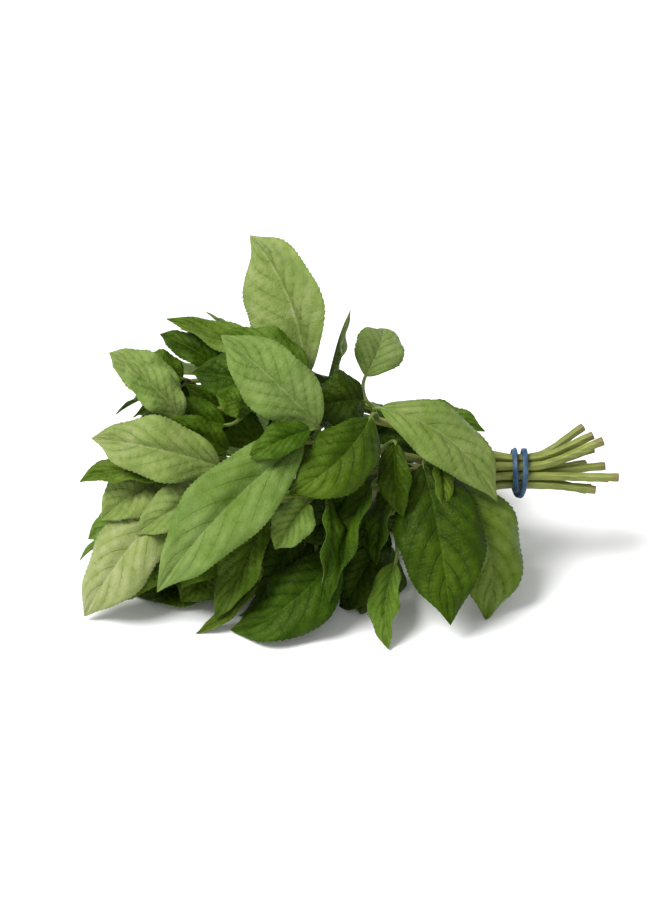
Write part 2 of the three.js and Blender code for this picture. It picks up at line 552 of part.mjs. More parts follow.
// One closed loop that goes round twice. The two turns run side by side and cross over underneath.
function bandSolid() {
  const steps = 2 * BAND_STEPS;
  const rings = Array.from({ length: steps }, (_, step) => {
    const angle = 4 * Math.PI * step / steps;
    const along = BAND_SPACING * Math.tanh(BAND_SWITCH * Math.cos(angle / 2)) / Math.tanh(BAND_SWITCH);
    const over = Math.exp(-(((angle - Math.PI) / BAND_CROSSING) ** 2));
    const radius = BAND_RADIUS + BAND_THICKNESS / 2 + BAND_HOP * over;
    const outward = direction([0, Math.cos(angle), Math.sin(angle)]);
    const middle = place([along, 0, 0]).addScaledVector(outward, radius);
    return Array.from({ length: BAND_CORNERS }, (_, corner) => {
      const turn = (corner + 0.5) * 2 * Math.PI / BAND_CORNERS;
      return middle.clone()
        .addScaledVector(new THREE.Vector3(1, 0, 0), BAND_WIDTH / 2 * BAND_ROUND * Math.cos(turn))
        .addScaledVector(outward, BAND_THICKNESS / 2 * BAND_ROUND * Math.sin(turn));
    });
  });
  const vertices = rings.flat().flatMap((point) => [point.x, point.y, point.z]);
  const triangles = [];
  for (let ring = 0; ring < steps; ring++) {
    for (let side = 0; side < BAND_CORNERS; side++) {
      const next = (ring + 1) % steps;
      const a = ring * BAND_CORNERS + side;
      const b = ring * BAND_CORNERS + (side + 1) % BAND_CORNERS;
      const c = next * BAND_CORNERS + (side + 1) % BAND_CORNERS;
      const d = next * BAND_CORNERS + side;
      triangles.push(a, b, c, a, c, d);
    }
  }
  return new wasm.Manifold(new wasm.Mesh({
    numProp: 3,
    vertProperties: new Float32Array(vertices),
    triVerts: new Uint32Array(triangles),
  }));
}

// ---- growing the bunch ----

function boxesMeet(first, second, gap) {
  const a = first.boundingBox();
  const b = second.boundingBox();
  return [0, 1, 2].every((axis) => a.min[axis] - gap < b.max[axis] && b.min[axis] - gap < a.max[axis]);
}

function tooClose(solid, others) {
  return others.some((other) => boxesMeet(solid, other, GAP) && solid.minGap(other, GAP) < GAP);
}

const bandBody = bandSolid();
const stemBodies = STEMS.map(stemSolid);
const placed = STEMS.map(() => []); // for each stem, its leaves as { whole, blade }

function obstacles(stemIndex) {
  const others = [bandBody];
  STEMS.forEach((_, index) => {
    if (index === stemIndex) return;
    others.push(stemBodies[index], ...placed[index].map((leaf) => leaf.whole));
  });
  return others;
}

// Tries the bends in turn, until the leaf clears all the other stems and their leaves, and its own stem's.
// A leaf that was laid by hand may cross its own stem's leaves where no bend at full size clears them.
function grow(leaf) {
  const others = obstacles(leaf.stem);
  const own = [stemBodies[leaf.stem], ...placed[leaf.stem].map((other) => other.blade)];
  let crossing = null;
  for (const bend of BENDS) {
    const full = bend[2] === 1;
    if (!full && crossing) break;
    const trial = bent(leaf, bend);
    const blades = bladeRings(trial);
    const whole = leafSolid([...stalkRings(trial), ...blades]);
    if (tooClose(whole, others)) continue;
    const blade = leafSolid(blades);
    if (!tooClose(blade, own)) {
      placed[leaf.stem].push({ whole, blade });
      return;
    }
    if (leaf.laid) crossing ??= { whole, blade };
  }
  if (crossing) placed[leaf.stem].push(crossing);
}

const spotOf = (stem, joint, side) => `${stem} ${joint} ${side}`;
for (const row of LAID) grow(laidLeaf(row));

// Which joints carry leaves that no row describes. Inner stems and stems at the front carry fewer.
function carries(stem, joint, side) {
  const front = stem.seat < 120 || stem.seat > 270;
  const shoot = side > 1;
  if (joint === 0) return !stem.inner && !front && !shoot;
  if (!shoot) return true;
  if (stem.inner || joint === 1 || joint === 4) return false;
  return side === 2 || (joint === 2 && !front);
}

const taken = new Set([...BARE, ...LAID.map((row) => spotOf(row.stem, row.joint, row.side))]);
let count = 0;
for (const side of [0, 1, 2, 3]) {
  STEMS.forEach((stem, stemIndex) => {
    stem.joints.forEach((_, joint) => {
      count++;
      if (taken.has(spotOf(stemIndex, joint, side)) || !carries(stem, joint, side)) return;
      grow(ruledLeaf(stemIndex, joint, side, count));
    });
  });
}

// ---- nodes ----

const green = new THREE.MeshStandardMaterial({ color: LEAF_GREEN, roughness: 0.6, metalness: 0 });
const blue = new THREE.MeshStandardMaterial({ color: BAND_BLUE, roughness: 0.55, metalness: 0 });

function node(name, solid, material) {
  const mesh = solid.getMesh();
  const geometry = new THREE.BufferGeometry();
  geometry.setAttribute('position', new THREE.BufferAttribute(new Float32Array(mesh.vertProperties), 3));
  geometry.setIndex(new THREE.BufferAttribute(new Uint32Array(mesh.triVerts), 1));
  const result = new THREE.Mesh(geometry, material);
  result.name = name;
  return result;
}

// The largest closed body of a union: scraps and sealed hollows are left out.
function mainBody(solid) {
  return solid.decompose().reduce((best, piece) => (piece.volume() > best.volume() ? piece : best));
}

const group = new THREE.Group();
group.add(node('rubber_band', bandBody, blue));
STEMS.forEach((_, index) => {
  const leaves = placed[index].map((leaf) => leaf.whole);
  const joined = leaves.reduce((sum, leaf) => sum.add(leaf), stemBodies[index]);
  const name = `basil_stem_${String(index + 1).padStart(2, '0')}`;
  group.add(node(name, mainBody(joined.simplify(LEAST_STEP)), green));
});

// The origin goes under the middle of the bunch.
const box = new THREE.Box3().setFromObject(group);
const middle = box.getCenter(new THREE.Vector3());
group.children.forEach((mesh) => mesh.position.set(-middle.x, -middle.y, -box.min.z));

export default group;
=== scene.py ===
"""A bunch of fresh large-leaved basil, lying on its side and held by a rubber band.

Lengths are in millimetres until a mesh is made, and the meshes are in metres. Places in the bunch are
given from the middle of the band as (along, rise, out): along the bunch towards the cut ends, up the
slope of its front, and square out of that slope. The stems and leaves follow the same rules as the
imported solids, whose corners tell which of the leaves are there and how each of them is bent.
"""

import logging
import math
from dataclasses import dataclass, field, replace
from enum import Enum
from typing import Any, NamedTuple

import bpy
import numpy as np
from bpy.types import Material, Node, NodeSocket, NodeTree, Object
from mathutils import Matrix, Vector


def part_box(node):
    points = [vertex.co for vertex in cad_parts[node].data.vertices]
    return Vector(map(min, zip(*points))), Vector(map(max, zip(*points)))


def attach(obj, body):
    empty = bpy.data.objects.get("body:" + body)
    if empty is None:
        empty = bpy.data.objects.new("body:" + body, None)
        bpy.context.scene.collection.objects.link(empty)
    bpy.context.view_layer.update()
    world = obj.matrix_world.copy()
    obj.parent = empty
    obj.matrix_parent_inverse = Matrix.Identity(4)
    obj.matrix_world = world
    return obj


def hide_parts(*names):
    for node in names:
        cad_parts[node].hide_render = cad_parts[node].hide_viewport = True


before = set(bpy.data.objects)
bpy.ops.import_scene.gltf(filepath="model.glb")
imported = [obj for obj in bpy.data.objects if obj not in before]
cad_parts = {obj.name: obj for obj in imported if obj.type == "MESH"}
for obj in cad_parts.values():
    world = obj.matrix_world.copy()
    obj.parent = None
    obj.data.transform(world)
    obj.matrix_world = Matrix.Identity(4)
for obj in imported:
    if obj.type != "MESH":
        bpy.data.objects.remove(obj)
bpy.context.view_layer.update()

LOG = logging.getLogger("basil_bunch")
MM = 0.001
BODY = "root"
Array = np.ndarray
Face = tuple[int, ...]

# ---- places ----

BAND_ABOVE_SURFACE = 42.0
FRONT_SLOPE = math.radians(35)
UP = np.array((0.0, 0.0, 1.0))
RISE = np.array((0.0, math.sin(FRONT_SLOPE), math.cos(FRONT_SLOPE)))
OUT = np.array((0.0, -math.cos(FRONT_SLOPE), math.sin(FRONT_SLOPE)))
SLOPE = np.array(((1.0, 0.0, 0.0), RISE, OUT))


def direction(spot: Any) -> Array:
    """Turns (along, rise, out) into x, y and z."""
    return np.asarray(spot, float) @ SLOPE


def place(spot: Any) -> Array:
    """Gives the point at (along, rise, out) from the middle of the band."""
    return direction(spot) + UP * BAND_ABOVE_SURFACE


def share(count: int) -> float:
    """Gives a number from 0 to 1 that differs for each count and is the same each time."""
    return (count * 0.618034 + 0.31) % 1


def unit(vectors: Array) -> Array:
    """Scales vectors to a length of one."""
    return vectors / np.maximum(np.linalg.norm(vectors, axis=-1, keepdims=True), 1e-9)


def dot(first: Array, second: Array) -> Array:
    """Gives the dot products of two rows of vectors, kept as a column."""
    return np.sum(first * second, axis=-1, keepdims=True)


def smooth(low: float, high: float, value: Array) -> Array:
    """Rises smoothly from 0 at low to 1 at high."""
    t = np.clip((value - low) / (high - low), 0, 1)
    return t * t * (3 - 2 * t)


# ---- nodes ----

NOISE = "ShaderNodeTexNoise"
RANGE = "ShaderNodeMapRange"
MIX = "ShaderNodeMix"
SHARE, FIRST, SECOND = 0, 6, 7  # the inputs of a colour mix: how much there is of the second colour
MIXED = 2  # its output


def feed(tree: NodeTree, node: Node, inputs: dict[Any, Any]) -> None:
    """Links or sets the inputs of a node.

    Args:
        tree: the tree that it is in.
        node: the node.
        inputs: for each input's name or place, its value, or the socket or node that it links to.
    """
    for key, value in inputs.items():
        source = value.outputs[0] if isinstance(value, Node) else value
        if isinstance(source, NodeSocket):
            tree.links.new(source, node.inputs[key])
        else:
            node.inputs[key].default_value = source


def add(tree: NodeTree, kind: str, *inputs: Any, **settings: Any) -> Node:
    """Adds a node, with its settings and links.

    Args:
        tree: the tree to add it to.
        kind: the node's type, or for a math node its operation, which is in capitals.
        inputs: its inputs in their order, or one dict of them by name or place.
        settings: the node's own properties.

    Returns:
        The node.
    """
    if kind.isupper():
        kind, settings = "ShaderNodeMath", {"operation": kind, **settings}
    node = tree.nodes.new(kind)
    for name, value in settings.items():
        setattr(node, name, value)
    by_name = bool(inputs) and isinstance(inputs[0], dict)
    feed(tree, node, inputs[0] if by_name else dict(enumerate(inputs)))
    return node


# ---- meshes and curves ----


@dataclass
class Shell:
    """The arrays of a mesh while it is being put together, in millimetres."""

    points: Array
    faces: list[Face]
    uv: Array
    flat: Array
    leaf: Array

    @staticmethod
    def joined(shells: list["Shell"]) -> "Shell":
        """Puts several shells into one.

        Args:
            shells: the shells, which keep their order.

        Returns:
            One shell with every point and face of them.
        """
        faces: list[Face] = []
        start = 0
        for shell in shells:
            faces += [tuple(start + corner for corner in face) for face in shell.faces]
            start += len(shell.points)
        points, uv, flat, leaf = (
            np.concatenate([getattr(shell, part) for shell in shells])
            for part in ("points", "uv", "flat", "leaf"))
        return Shell(points, faces, uv, flat, leaf)


def ring_faces(first: int, rings: int, size: int, flipped: bool = False) -> list[Face]:
    """Gives the four-sided faces between closed rings of points that follow one another.

    Args:
        first: the number of the first ring's first point.
        rings: how many rings there are.
        size: how many points each of them has.
        flipped: whether the faces look the other way.

    Returns:
        The faces, ring by ring.
    """
    faces: list[Face] = []
    for start in range(first, first + (rings - 1) * size, size):
        for corner in range(size):
            after = (corner + 1) % size
            face = (start + corner, start + after, start + size + after, start + size + corner)
            faces.append((face[0], *face[:0:-1]) if flipped else face)
    return faces


def linked(name: str, data: Any) -> Object:
    """Makes an object of a mesh, a curve, a light or a camera, and links it to the scene.

    Args:
        name: the object's name.
        data: what it shows.

    Returns:
        The object.
    """
    thing = bpy.data.objects.new(name, data)
    bpy.context.scene.collection.objects.link(thing)
    return thing


def make_piece(name: str, shell: Shell, material: Material) -> Object:
    """Makes an object from a shell, with its place in its mesh.

    Args:
        name: the object's name.
        shell: its points, faces, two UV maps and leaf values.
        material: what it is made of.

    Returns:
        The object, linked to the scene.
    """
    mesh = bpy.data.meshes.new(name)
    mesh.from_pydata((shell.points * MM).tolist(), [], shell.faces)
    corners = np.empty(len(mesh.loops), int)
    mesh.loops.foreach_get("vertex_index", corners)
    for layer, values in (("UVMap", shell.uv), ("Flat", shell.flat)):
        uv_map = mesh.uv_layers.new(name=layer)
        uv_map.data.foreach_set("uv", values[corners].ravel().astype(np.float32))
    attribute = mesh.attributes.new("leaf", "FLOAT_VECTOR", "POINT")
    attribute.data.foreach_set("vector", shell.leaf.ravel().astype(np.float32))
    mesh.materials.append(material)
    mesh.shade_smooth()
    mesh.update()
    return linked(name, mesh)


class Path(NamedTuple):
    """A line that a sweep follows, in millimetres, with its half-width at each point."""

    points: Array
    halves: Array

    def moved(self, shift: Array) -> "Path":
        """Gives the same line moved by a shift."""
        return Path(self.points + shift, self.halves)


class Profile(Enum):
    """The cross-section of a sweep: its share of depth to width, and how round its corners are."""

    SQUARE_STEM = (1.0, 0.42)
    ROUND_STALK = (0.92, 0.96)
    FLAT_BAND = (0.6, 0.62)


PROFILE_WIDTH = 2.0  # a cross-section's full width, where its half-width is one
CORNER_STEPS = 3


def sweep_tree(profile: Profile) -> NodeTree:
    """Builds the geometry nodes that sweep a cross-section along every path of a curve.

    Args:
        profile: the cross-section. Its half-width is the radius of the path's points.

    Returns:
        The tree. It also stores the length from the path's start as the attribute "reach".
    """
    tree = bpy.data.node_groups.new(f"sweep_{profile.name.lower()}", "GeometryNodeTree")
    tree.is_modifier = True
    sockets = tree.interface
    sockets.new_socket("Path", in_out="INPUT", socket_type="NodeSocketGeometry")
    depth, rounding = profile.value
    numbers = (
        ("Depth", "NodeSocketFloat", depth), ("Rounding", "NodeSocketFloat", rounding),
        ("Corner Steps", "NodeSocketInt", CORNER_STEPS), ("Closed Ends", "NodeSocketBool", True))
    for name, kind, value in numbers:
        sockets.new_socket(name, in_out="INPUT", socket_type=kind).default_value = value
    sockets.new_socket("Finish", in_out="INPUT", socket_type="NodeSocketMaterial")
    sockets.new_socket("Mesh", in_out="OUTPUT", socket_type="NodeSocketGeometry")
    given = add(tree, "NodeGroupInput").outputs
    height = add(tree, "MULTIPLY", {0: given["Depth"], 1: PROFILE_WIDTH})
    corner = add(tree, "MULTIPLY", {0: given["Depth"], 1: given["Rounding"]})
    outline = add(tree, "GeometryNodeCurvePrimitiveQuadrilateral",
                  {"Width": PROFILE_WIDTH, "Height": height}, mode="RECTANGLE")
    rounded = add(tree, "GeometryNodeFilletCurve", {
        "Curve": outline, "Count": given["Corner Steps"], "Radius": corner,
        "Limit Radius": True}, mode="POLY")
    reach = add(tree, "GeometryNodeSplineParameter")
    kept = tree.nodes.new("GeometryNodeCaptureAttribute")
    kept.capture_items.new("FLOAT", "Reach")
    feed(tree, kept, {"Geometry": given["Path"], "Reach": reach.outputs["Length"]})
    radius = add(tree, "GeometryNodeInputRadius")
    swept = add(tree, "GeometryNodeCurveToMesh", {
        "Curve": kept.outputs["Geometry"], "Profile Curve": rounded,
        "Scale": radius, "Fill Caps": given["Closed Ends"]})
    stored = add(tree, "GeometryNodeStoreNamedAttribute", {
        "Geometry": swept, "Name": "reach", "Value": kept.outputs["Reach"]},
        data_type="FLOAT", domain="POINT")
    real = add(tree, "GeometryNodeRealizeInstances", stored)
    dressed = add(tree, "GeometryNodeSetMaterial", {"Geometry": real, "Material": given["Finish"]})
    add(tree, "NodeGroupOutput", dressed)
    return tree


def sweep(name: str, paths: list[Path], profile: Profile, material: Material,
          closed: bool = False) -> Object:
    """Sweeps a cross-section along paths, and makes the result a plain mesh.

    Args:
        name: the object's name.
        paths: the lines to follow.
        profile: the cross-section.
        material: what it is made of.
        closed: whether the paths are loops.

    Returns:
        The object, linked to the scene, shaded smooth and with no modifier left on it.
    """
    curve = bpy.data.curves.new(f"{name}_path", "CURVE")
    curve.dimensions = "3D"
    curve.twist_mode = "MINIMUM"
    for path in paths:
        spline = curve.splines.new("POLY")
        spline.points.add(len(path.points) - 1)
        places = np.hstack([path.points * MM, np.ones((len(path.points), 1))])
        spline.points.foreach_set("co", places.ravel().astype(np.float32))
        spline.points.foreach_set("radius", (path.halves * MM).astype(np.float32))
        spline.use_cyclic_u = closed
    carrier = linked(f"{name}_carrier", curve)
    modifier = carrier.modifiers.new("sweep", "NODES")
    modifier.node_group = sweep_tree(profile)
    inputs = {item.name: item.identifier for item in modifier.node_group.interface.items_tree
              if item.item_type == "SOCKET" and item.in_out == "INPUT"}
    modifier[inputs["Finish"]] = material
    modifier[inputs["Closed Ends"]] = not closed
    graph = bpy.context.evaluated_depsgraph_get()
    mesh = bpy.data.meshes.new_from_object(carrier.evaluated_get(graph), depsgraph=graph)
    carrier.modifiers.remove(modifier)
    bpy.data.objects.remove(carrier)
    bpy.data.curves.remove(curve)
    mesh.name = name
    mesh.shade_smooth()
    return linked(name, mesh)


# ---- finishes ----


def linear(colour: str) -> tuple[float, float, float, float]:
    """Turns an sRGB colour such as "#4a6a20" into linear red, green, blue and alpha."""
    shares = [int(colour[start:start + 2], 16) / 255 for start in (1, 3, 5)]
    return (*[s / 12.92 if s <= 0.04045 else ((s + 0.055) / 1.055) ** 2.4 for s in shares], 1.0)


def new_material(name: str) -> tuple[Material, NodeTree, Node]:
    """Makes a material with nothing but a shader.

    Args:
        name: the material's name.

    Returns:
        The material, its tree and its shader node.
    """
    material = bpy.data.materials.new(name)
    material.use_nodes = True
    tree = material.node_tree
    return material, tree, tree.nodes["Principled BSDF"]


# The side veins of a blade: how many pairs, how far each runs towards the tip, and how it bends.
VEIN_PAIRS = 6.5
VEIN_RUN = 0.38
VEIN_BEND = 1.2
VEIN_LEAD = 0.35  # how far the veins of one half are ahead of the other's, in vein spacings
FLAT_UNIT = 100  # how many millimetres of a blade the UV map "Flat" fits in one unit


@dataclass(frozen=True)
class BasilLeaf:
    """A fresh basil leaf: thin, satin, quilted between its veins, with a paler and duller underside.

    tones are its greens from the darkest to the palest, marks is how much each part of its pattern
    lightens it, base how much is taken off for all of them, and swells how far each stands out. The
    darkest tones serve as painted shade for leaves deep in the bunch. Of the marks, the side veins darken
    the blade and the places midway between them lighten it, as painted shade of its quilted furrows.
    """

    tones: tuple[tuple[float, str], ...] = (
        (0.0, "#112304"), (0.2, "#273c05"), (0.35, "#385009"), (0.5, "#4e651d"), (0.65, "#617737"),
        (0.8, "#758649"), (1.0, "#959b6f"))
    # painted shade: the side veins darken the blade and the places midway between them lighten it, as the
    # furrows of its quilting would be shaded; the other marks are its own colour
    marks: tuple[tuple[str, float], ...] = (
        ("patches", 0.42), ("mottle", 0.16), ("between", 0.14), ("side_vein", -0.06), ("midrib", 0.08),
        ("net", 0.03))
    base: float = 0.32
    swells: tuple[tuple[str, float], ...] = (
        ("mottle", 0.35), ("net", -0.12), ("side_vein", -0.5), ("midrib", -0.1))
    vein: str = "#84944c"
    underside: str = "#6f8147"
    sheen: str = "#c9d68c"
    roughness: float = 0.45

    def pattern(self, tree: NodeTree) -> dict[str, Any]:
        """Adds the nodes of its pattern: veins, the net between them, and uneven growth.

        Args:
            tree: the tree to add them to.

        Returns:
            For each part of the pattern, the node that gives it from 0 to 1.
        """
        blade = add(tree, "ShaderNodeUVMap", uv_map="UVMap")
        split = add(tree, "ShaderNodeSeparateXYZ", blade)
        across = add(tree, "MULTIPLY_ADD", split.outputs[0], 2.0, -1.0)
        aside = add(tree, "ABSOLUTE", across)
        # the side veins follow the same rule as the relief of the blade
        bend = add(tree, "POWER", aside, VEIN_BEND)
        back = add(tree, "MULTIPLY_ADD", bend, -VEIN_RUN, split.outputs[1])
        half = add(tree, "GREATER_THAN", across, 0.0)
        lead = add(tree, "MULTIPLY", half, VEIN_LEAD)
        turn = add(tree, "MULTIPLY_ADD", back, VEIN_PAIRS, lead)
        between = add(tree, "PINGPONG", turn, 0.5)
        # the net of small veins, about 1.6 mm across
        flat = add(tree, "ShaderNodeUVMap", uv_map="Flat")
        cells = add(tree, "ShaderNodeTexVoronoi", {"Vector": flat, "Scale": 62.0},
                    voronoi_dimensions="2D", feature="DISTANCE_TO_EDGE").outputs["Distance"]
        # how far each vein reaches: whole up to the first number, and gone at the second
        side_vein, edge_fade, midrib, net = (
            add(tree, RANGE, {
                "Value": value, "From Min": whole, "From Max": gone, "To Min": 1.0, "To Max": 0.0},
                interpolation_type=easing)
            for value, whole, gone, easing in (
                (between, 0.015, 0.07, "SMOOTHSTEP"), (aside, 0.3, 0.97, "LINEAR"),
                (aside, 0.012, 0.05, "SMOOTHSTEP"), (cells, 0.0, 0.16, "LINEAR")))
        # uneven growth, in patches of about 12 mm and 3 mm
        spot = add(tree, "ShaderNodeTexCoord").outputs["Object"]
        patches = add(tree, NOISE, {"Vector": spot, "Scale": 80.0, "Detail": 3.0})
        mottle = add(tree, NOISE, {"Vector": flat, "Scale": 34.0, "Detail": 4.0}, noise_dimensions="2D")
        # the side veins fade towards the edge, and show more in some patches than in others
        for weakening in (edge_fade, patches):
            side_vein = add(tree, "MULTIPLY", side_vein, weakening)
        return {"patches": patches, "mottle": mottle, "between": between, "side_vein": side_vein,
                "midrib": midrib, "net": net}

    def colour(self, tree: NodeTree, pattern: dict[str, Any], leaf: Any) -> Node:
        """Adds the nodes of its colour.

        Args:
            tree: the tree to add them to.
            pattern: the nodes of its pattern.
            leaf: the sockets of its tone, of whether this is its underside, and of its seed.

        Returns:
            The node that gives the colour.
        """
        tone_and_shade, under, seed = leaf
        # the side veins and the places between them add painted shade of the quilted furrows; the other
        # marks are the leaf's own patches, mottling and veins
        for mark, strength in self.marks:
            tone_and_shade = add(tree, "MULTIPLY_ADD", pattern[mark], strength, tone_and_shade)
        tone_and_shade = add(tree, "SUBTRACT", tone_and_shade, self.base, use_clamp=True)
        ramp = add(tree, "ShaderNodeValToRGB", tone_and_shade)
        stops = ramp.color_ramp.elements
        while len(stops) < len(self.tones):
            stops.new(0.5)
        for stop, (position, colour) in zip(stops, self.tones):
            stop.position = position
            stop.color = linear(colour)
        # the underside has paler veins and is paler all over
        veins = add(tree, "MAXIMUM", pattern["midrib"], pattern["side_vein"])
        paler = add(tree, "MULTIPLY", under, 0.4)
        veined = add(tree, "MULTIPLY", veins, paler)
        pale = add(tree, "MULTIPLY", under, 0.6)
        green: Any = ramp
        for amount, colour in ((veined, self.vein), (pale, self.underside)):
            green = add(tree, MIX, {SHARE: amount, FIRST: green, SECOND: linear(colour)},
                        data_type="RGBA").outputs[MIXED]
        # each leaf is a little yellower or bluer than the next
        hue = add(tree, "MULTIPLY_ADD", seed, 0.018, 0.489)
        return add(tree, "ShaderNodeHueSaturation", {"Hue": hue, "Color": green})

    def make(self) -> Material:
        """Builds the material. It reads the blade's own UV maps and its leaf values.

        Returns:
            The material.
        """
        material, tree, shader = new_material("fresh_basil_leaf")
        values = add(tree, "ShaderNodeAttribute", attribute_name="leaf", attribute_type="GEOMETRY")
        leaf = add(tree, "ShaderNodeSeparateXYZ", values.outputs["Vector"]).outputs
        pattern = self.pattern(tree)
        dull = add(tree, "MULTIPLY_ADD", pattern["mottle"], 0.12, self.roughness - 0.06)
        dull = add(tree, "MULTIPLY_ADD", leaf[1], 0.18, dull)
        swell: Any = 0.0
        for mark, strength in self.swells:
            swell = add(tree, "MULTIPLY_ADD", pattern[mark], strength, swell)
        bump = add(tree, "ShaderNodeBump", {"Height": swell, "Strength": 0.9, "Distance": 0.0008})
        feed(tree, shader, {
            "Base Color": self.colour(tree, pattern, leaf), "Roughness": dull, "Normal": bump,
            "IOR": 1.38, "Specular IOR Level": 0.3, "Specular Tint": linear(self.sheen),
            "Subsurface Weight": 0.12, "Subsurface Radius": (0.5, 1.0, 0.15),
            "Subsurface Scale": 0.001})
        return material


@dataclass(frozen=True)
class BasilStem:
    """A fresh green basil stem: square, finely ribbed along its length, and satin."""

    name: str = "fresh_basil_stem"
    green: str = "#8e9547"
    # the darker green, which the furrows between the ribs take on as painted shade
    shade: str = "#4b5817"
    dried: str = "#746a3e"
    roughness: float = 0.5

    def make(self) -> Material:
        """Builds the material: ribs about 1.2 mm apart with finer fibres, painted shade in their furrows,
        and a dried cut end.

        Returns:
            The material.
        """
        material, tree, shader = new_material(self.name)
        spot = add(tree, "ShaderNodeTexCoord").outputs["Object"]
        drawn = add(tree, "ShaderNodeMapping", {"Vector": spot, "Scale": (0.06, 1.0, 1.0)})
        fibres = add(tree, NOISE, {"Vector": drawn, "Scale": 850.0, "Detail": 3.0})
        patches = add(tree, NOISE, {"Vector": spot, "Scale": 90.0, "Detail": 2.0})
        # lighter on the ribs and darker in the furrows between them, where the bump is low, as painted
        # shade; and lighter or darker in random patches
        rib_shading_and_patches = add(tree, "MULTIPLY", patches, 0.8)
        rib_shading_and_patches = add(tree, "MULTIPLY_ADD", fibres, 1.3, rib_shading_and_patches)
        rib_shading_and_patches = add(tree, "SUBTRACT", rib_shading_and_patches, 0.5, use_clamp=True)
        # "reach" is the distance from the cut end in metres, and the last 4.5 mm have dried
        reach = add(tree, "ShaderNodeAttribute", attribute_name="reach", attribute_type="GEOMETRY")
        drying = add(tree, RANGE, {
            "Value": reach.outputs["Fac"], "From Min": 0.0002, "From Max": 0.0045, "To Min": 0.9,
            "To Max": 0.0})
        colour: Any = linear(self.shade)
        for amount, second in ((rib_shading_and_patches, self.green), (drying, self.dried)):
            colour = add(tree, MIX, {SHARE: amount, FIRST: colour, SECOND: linear(second)},
                         data_type="RGBA").outputs[MIXED]
        bump = add(tree, "ShaderNodeBump", {"Height": fibres, "Strength": 0.8, "Distance": 0.0006})
        feed(tree, shader, {
            "Base Color": colour, "Normal": bump, "Roughness": self.roughness, "IOR": 1.42,
            "Subsurface Weight": 0.15, "Subsurface Radius": (0.6, 1.0, 0.3), "Subsurface Scale": 0.001})
        return material


@dataclass(frozen=True)
class CutPith:
    """The cut end of a stem: pale wet pith inside a thin green rind, browned a little at its edge."""

    pith: str = "#aeac86"
    rind: str = "#655e36"
    roughness: float = 0.55

    def make(self) -> Material:
        """Builds the material: cells about 0.5 mm across, and a darker ring.

        Returns:
            The material.
        """
        material, tree, shader = new_material("cut_basil_pith")
        flat = add(tree, "ShaderNodeUVMap", uv_map="UVMap")
        ring = add(tree, "ShaderNodeSeparateXYZ", flat)
        spot = add(tree, "ShaderNodeTexCoord").outputs["Object"]
        cells = add(tree, "ShaderNodeTexVoronoi", {"Vector": spot, "Scale": 2000.0}).outputs["Distance"]
        edge = add(tree, RANGE, {"Value": ring, "From Min": 0.62, "From Max": 0.95})
        dark = add(tree, "MULTIPLY_ADD", cells, 0.25, edge, use_clamp=True)
        colour = add(tree, MIX, {SHARE: dark, FIRST: linear(self.pith), SECOND: linear(self.rind)},
                     data_type="RGBA").outputs[MIXED]
        bump = add(tree, "ShaderNodeBump", {"Height": cells, "Strength": 0.6, "Distance": 0.0001})
        feed(tree, shader, {"Base Color": colour, "Normal": bump, "Roughness": self.roughness})
        return material


@dataclass(frozen=True)
class BandRubber:
    """Natural rubber, dyed dark blue and extruded: a dull sheen, with pale patches that are partly bloomed
    rubber and partly painted highlight.
    """

    blue: str = "#17395a"
    # the pale blue of those patches, which is the band's highlight colour
    bloom_and_highlight: str = "#4c7284"
    roughness: float = 0.5

    def make(self) -> Material:
        """Builds the material: pale patches of about 3 mm, partly bloomed rubber and partly painted
        highlight, and a fine grain of 0.2 mm.

        Returns:
            The material.
        """
        material, tree, shader = new_material("dyed_band_rubber")
        spot = add(tree, "ShaderNodeTexCoord").outputs["Object"]
        patches = add(tree, NOISE, {"Vector": spot, "Scale": 330.0, "Detail": 3.0})
        grain = add(tree, NOISE, {"Vector": spot, "Scale": 5000.0, "Detail": 1.0})
        # pale patches at random, in the blue of the band's highlights: partly bloomed rubber and partly
        # painted highlight
        bloom_and_highlight = add(tree, RANGE, {"Value": patches, "From Min": 0.45, "From Max": 0.75, "To Max": 0.6})
        colour = add(tree, MIX, {SHARE: bloom_and_highlight, FIRST: linear(self.blue), SECOND: linear(self.bloom_and_highlight)},
                     data_type="RGBA").outputs[MIXED]
        dull = add(tree, "MULTIPLY_ADD", patches, 0.2, self.roughness - 0.1)
        bump = add(tree, "ShaderNodeBump", {"Height": grain, "Strength": 0.3, "Distance": 0.0001})
        feed(tree, shader, {"Base Color": colour, "Roughness": dull, "Normal": bump, "IOR": 1.52})
        return material


@dataclass(frozen=True)
class PaintedFloor:
    """A matt white painted board."""

    white: str = "#fbfbfa"
    roughness: float = 0.9

    def make(self) -> Material:
        """Builds the material, with a faint unevenness of the paint.

        Returns:
            The material.
        """
        material, tree, shader = new_material("matt_white_board")
        spot = add(tree, "ShaderNodeTexCoord").outputs["Object"]
        roller = add(tree, NOISE, {"Vector": spot, "Scale": 400.0, "Detail": 2.0})
        bump = add(tree, "ShaderNodeBump", {"Height": roller, "Strength": 0.05, "Distance": 0.0002})
        feed(tree, shader, {"Normal": bump, "Base Color": linear(self.white), "Roughness": self.roughness})
        return material


# ---- stems ----

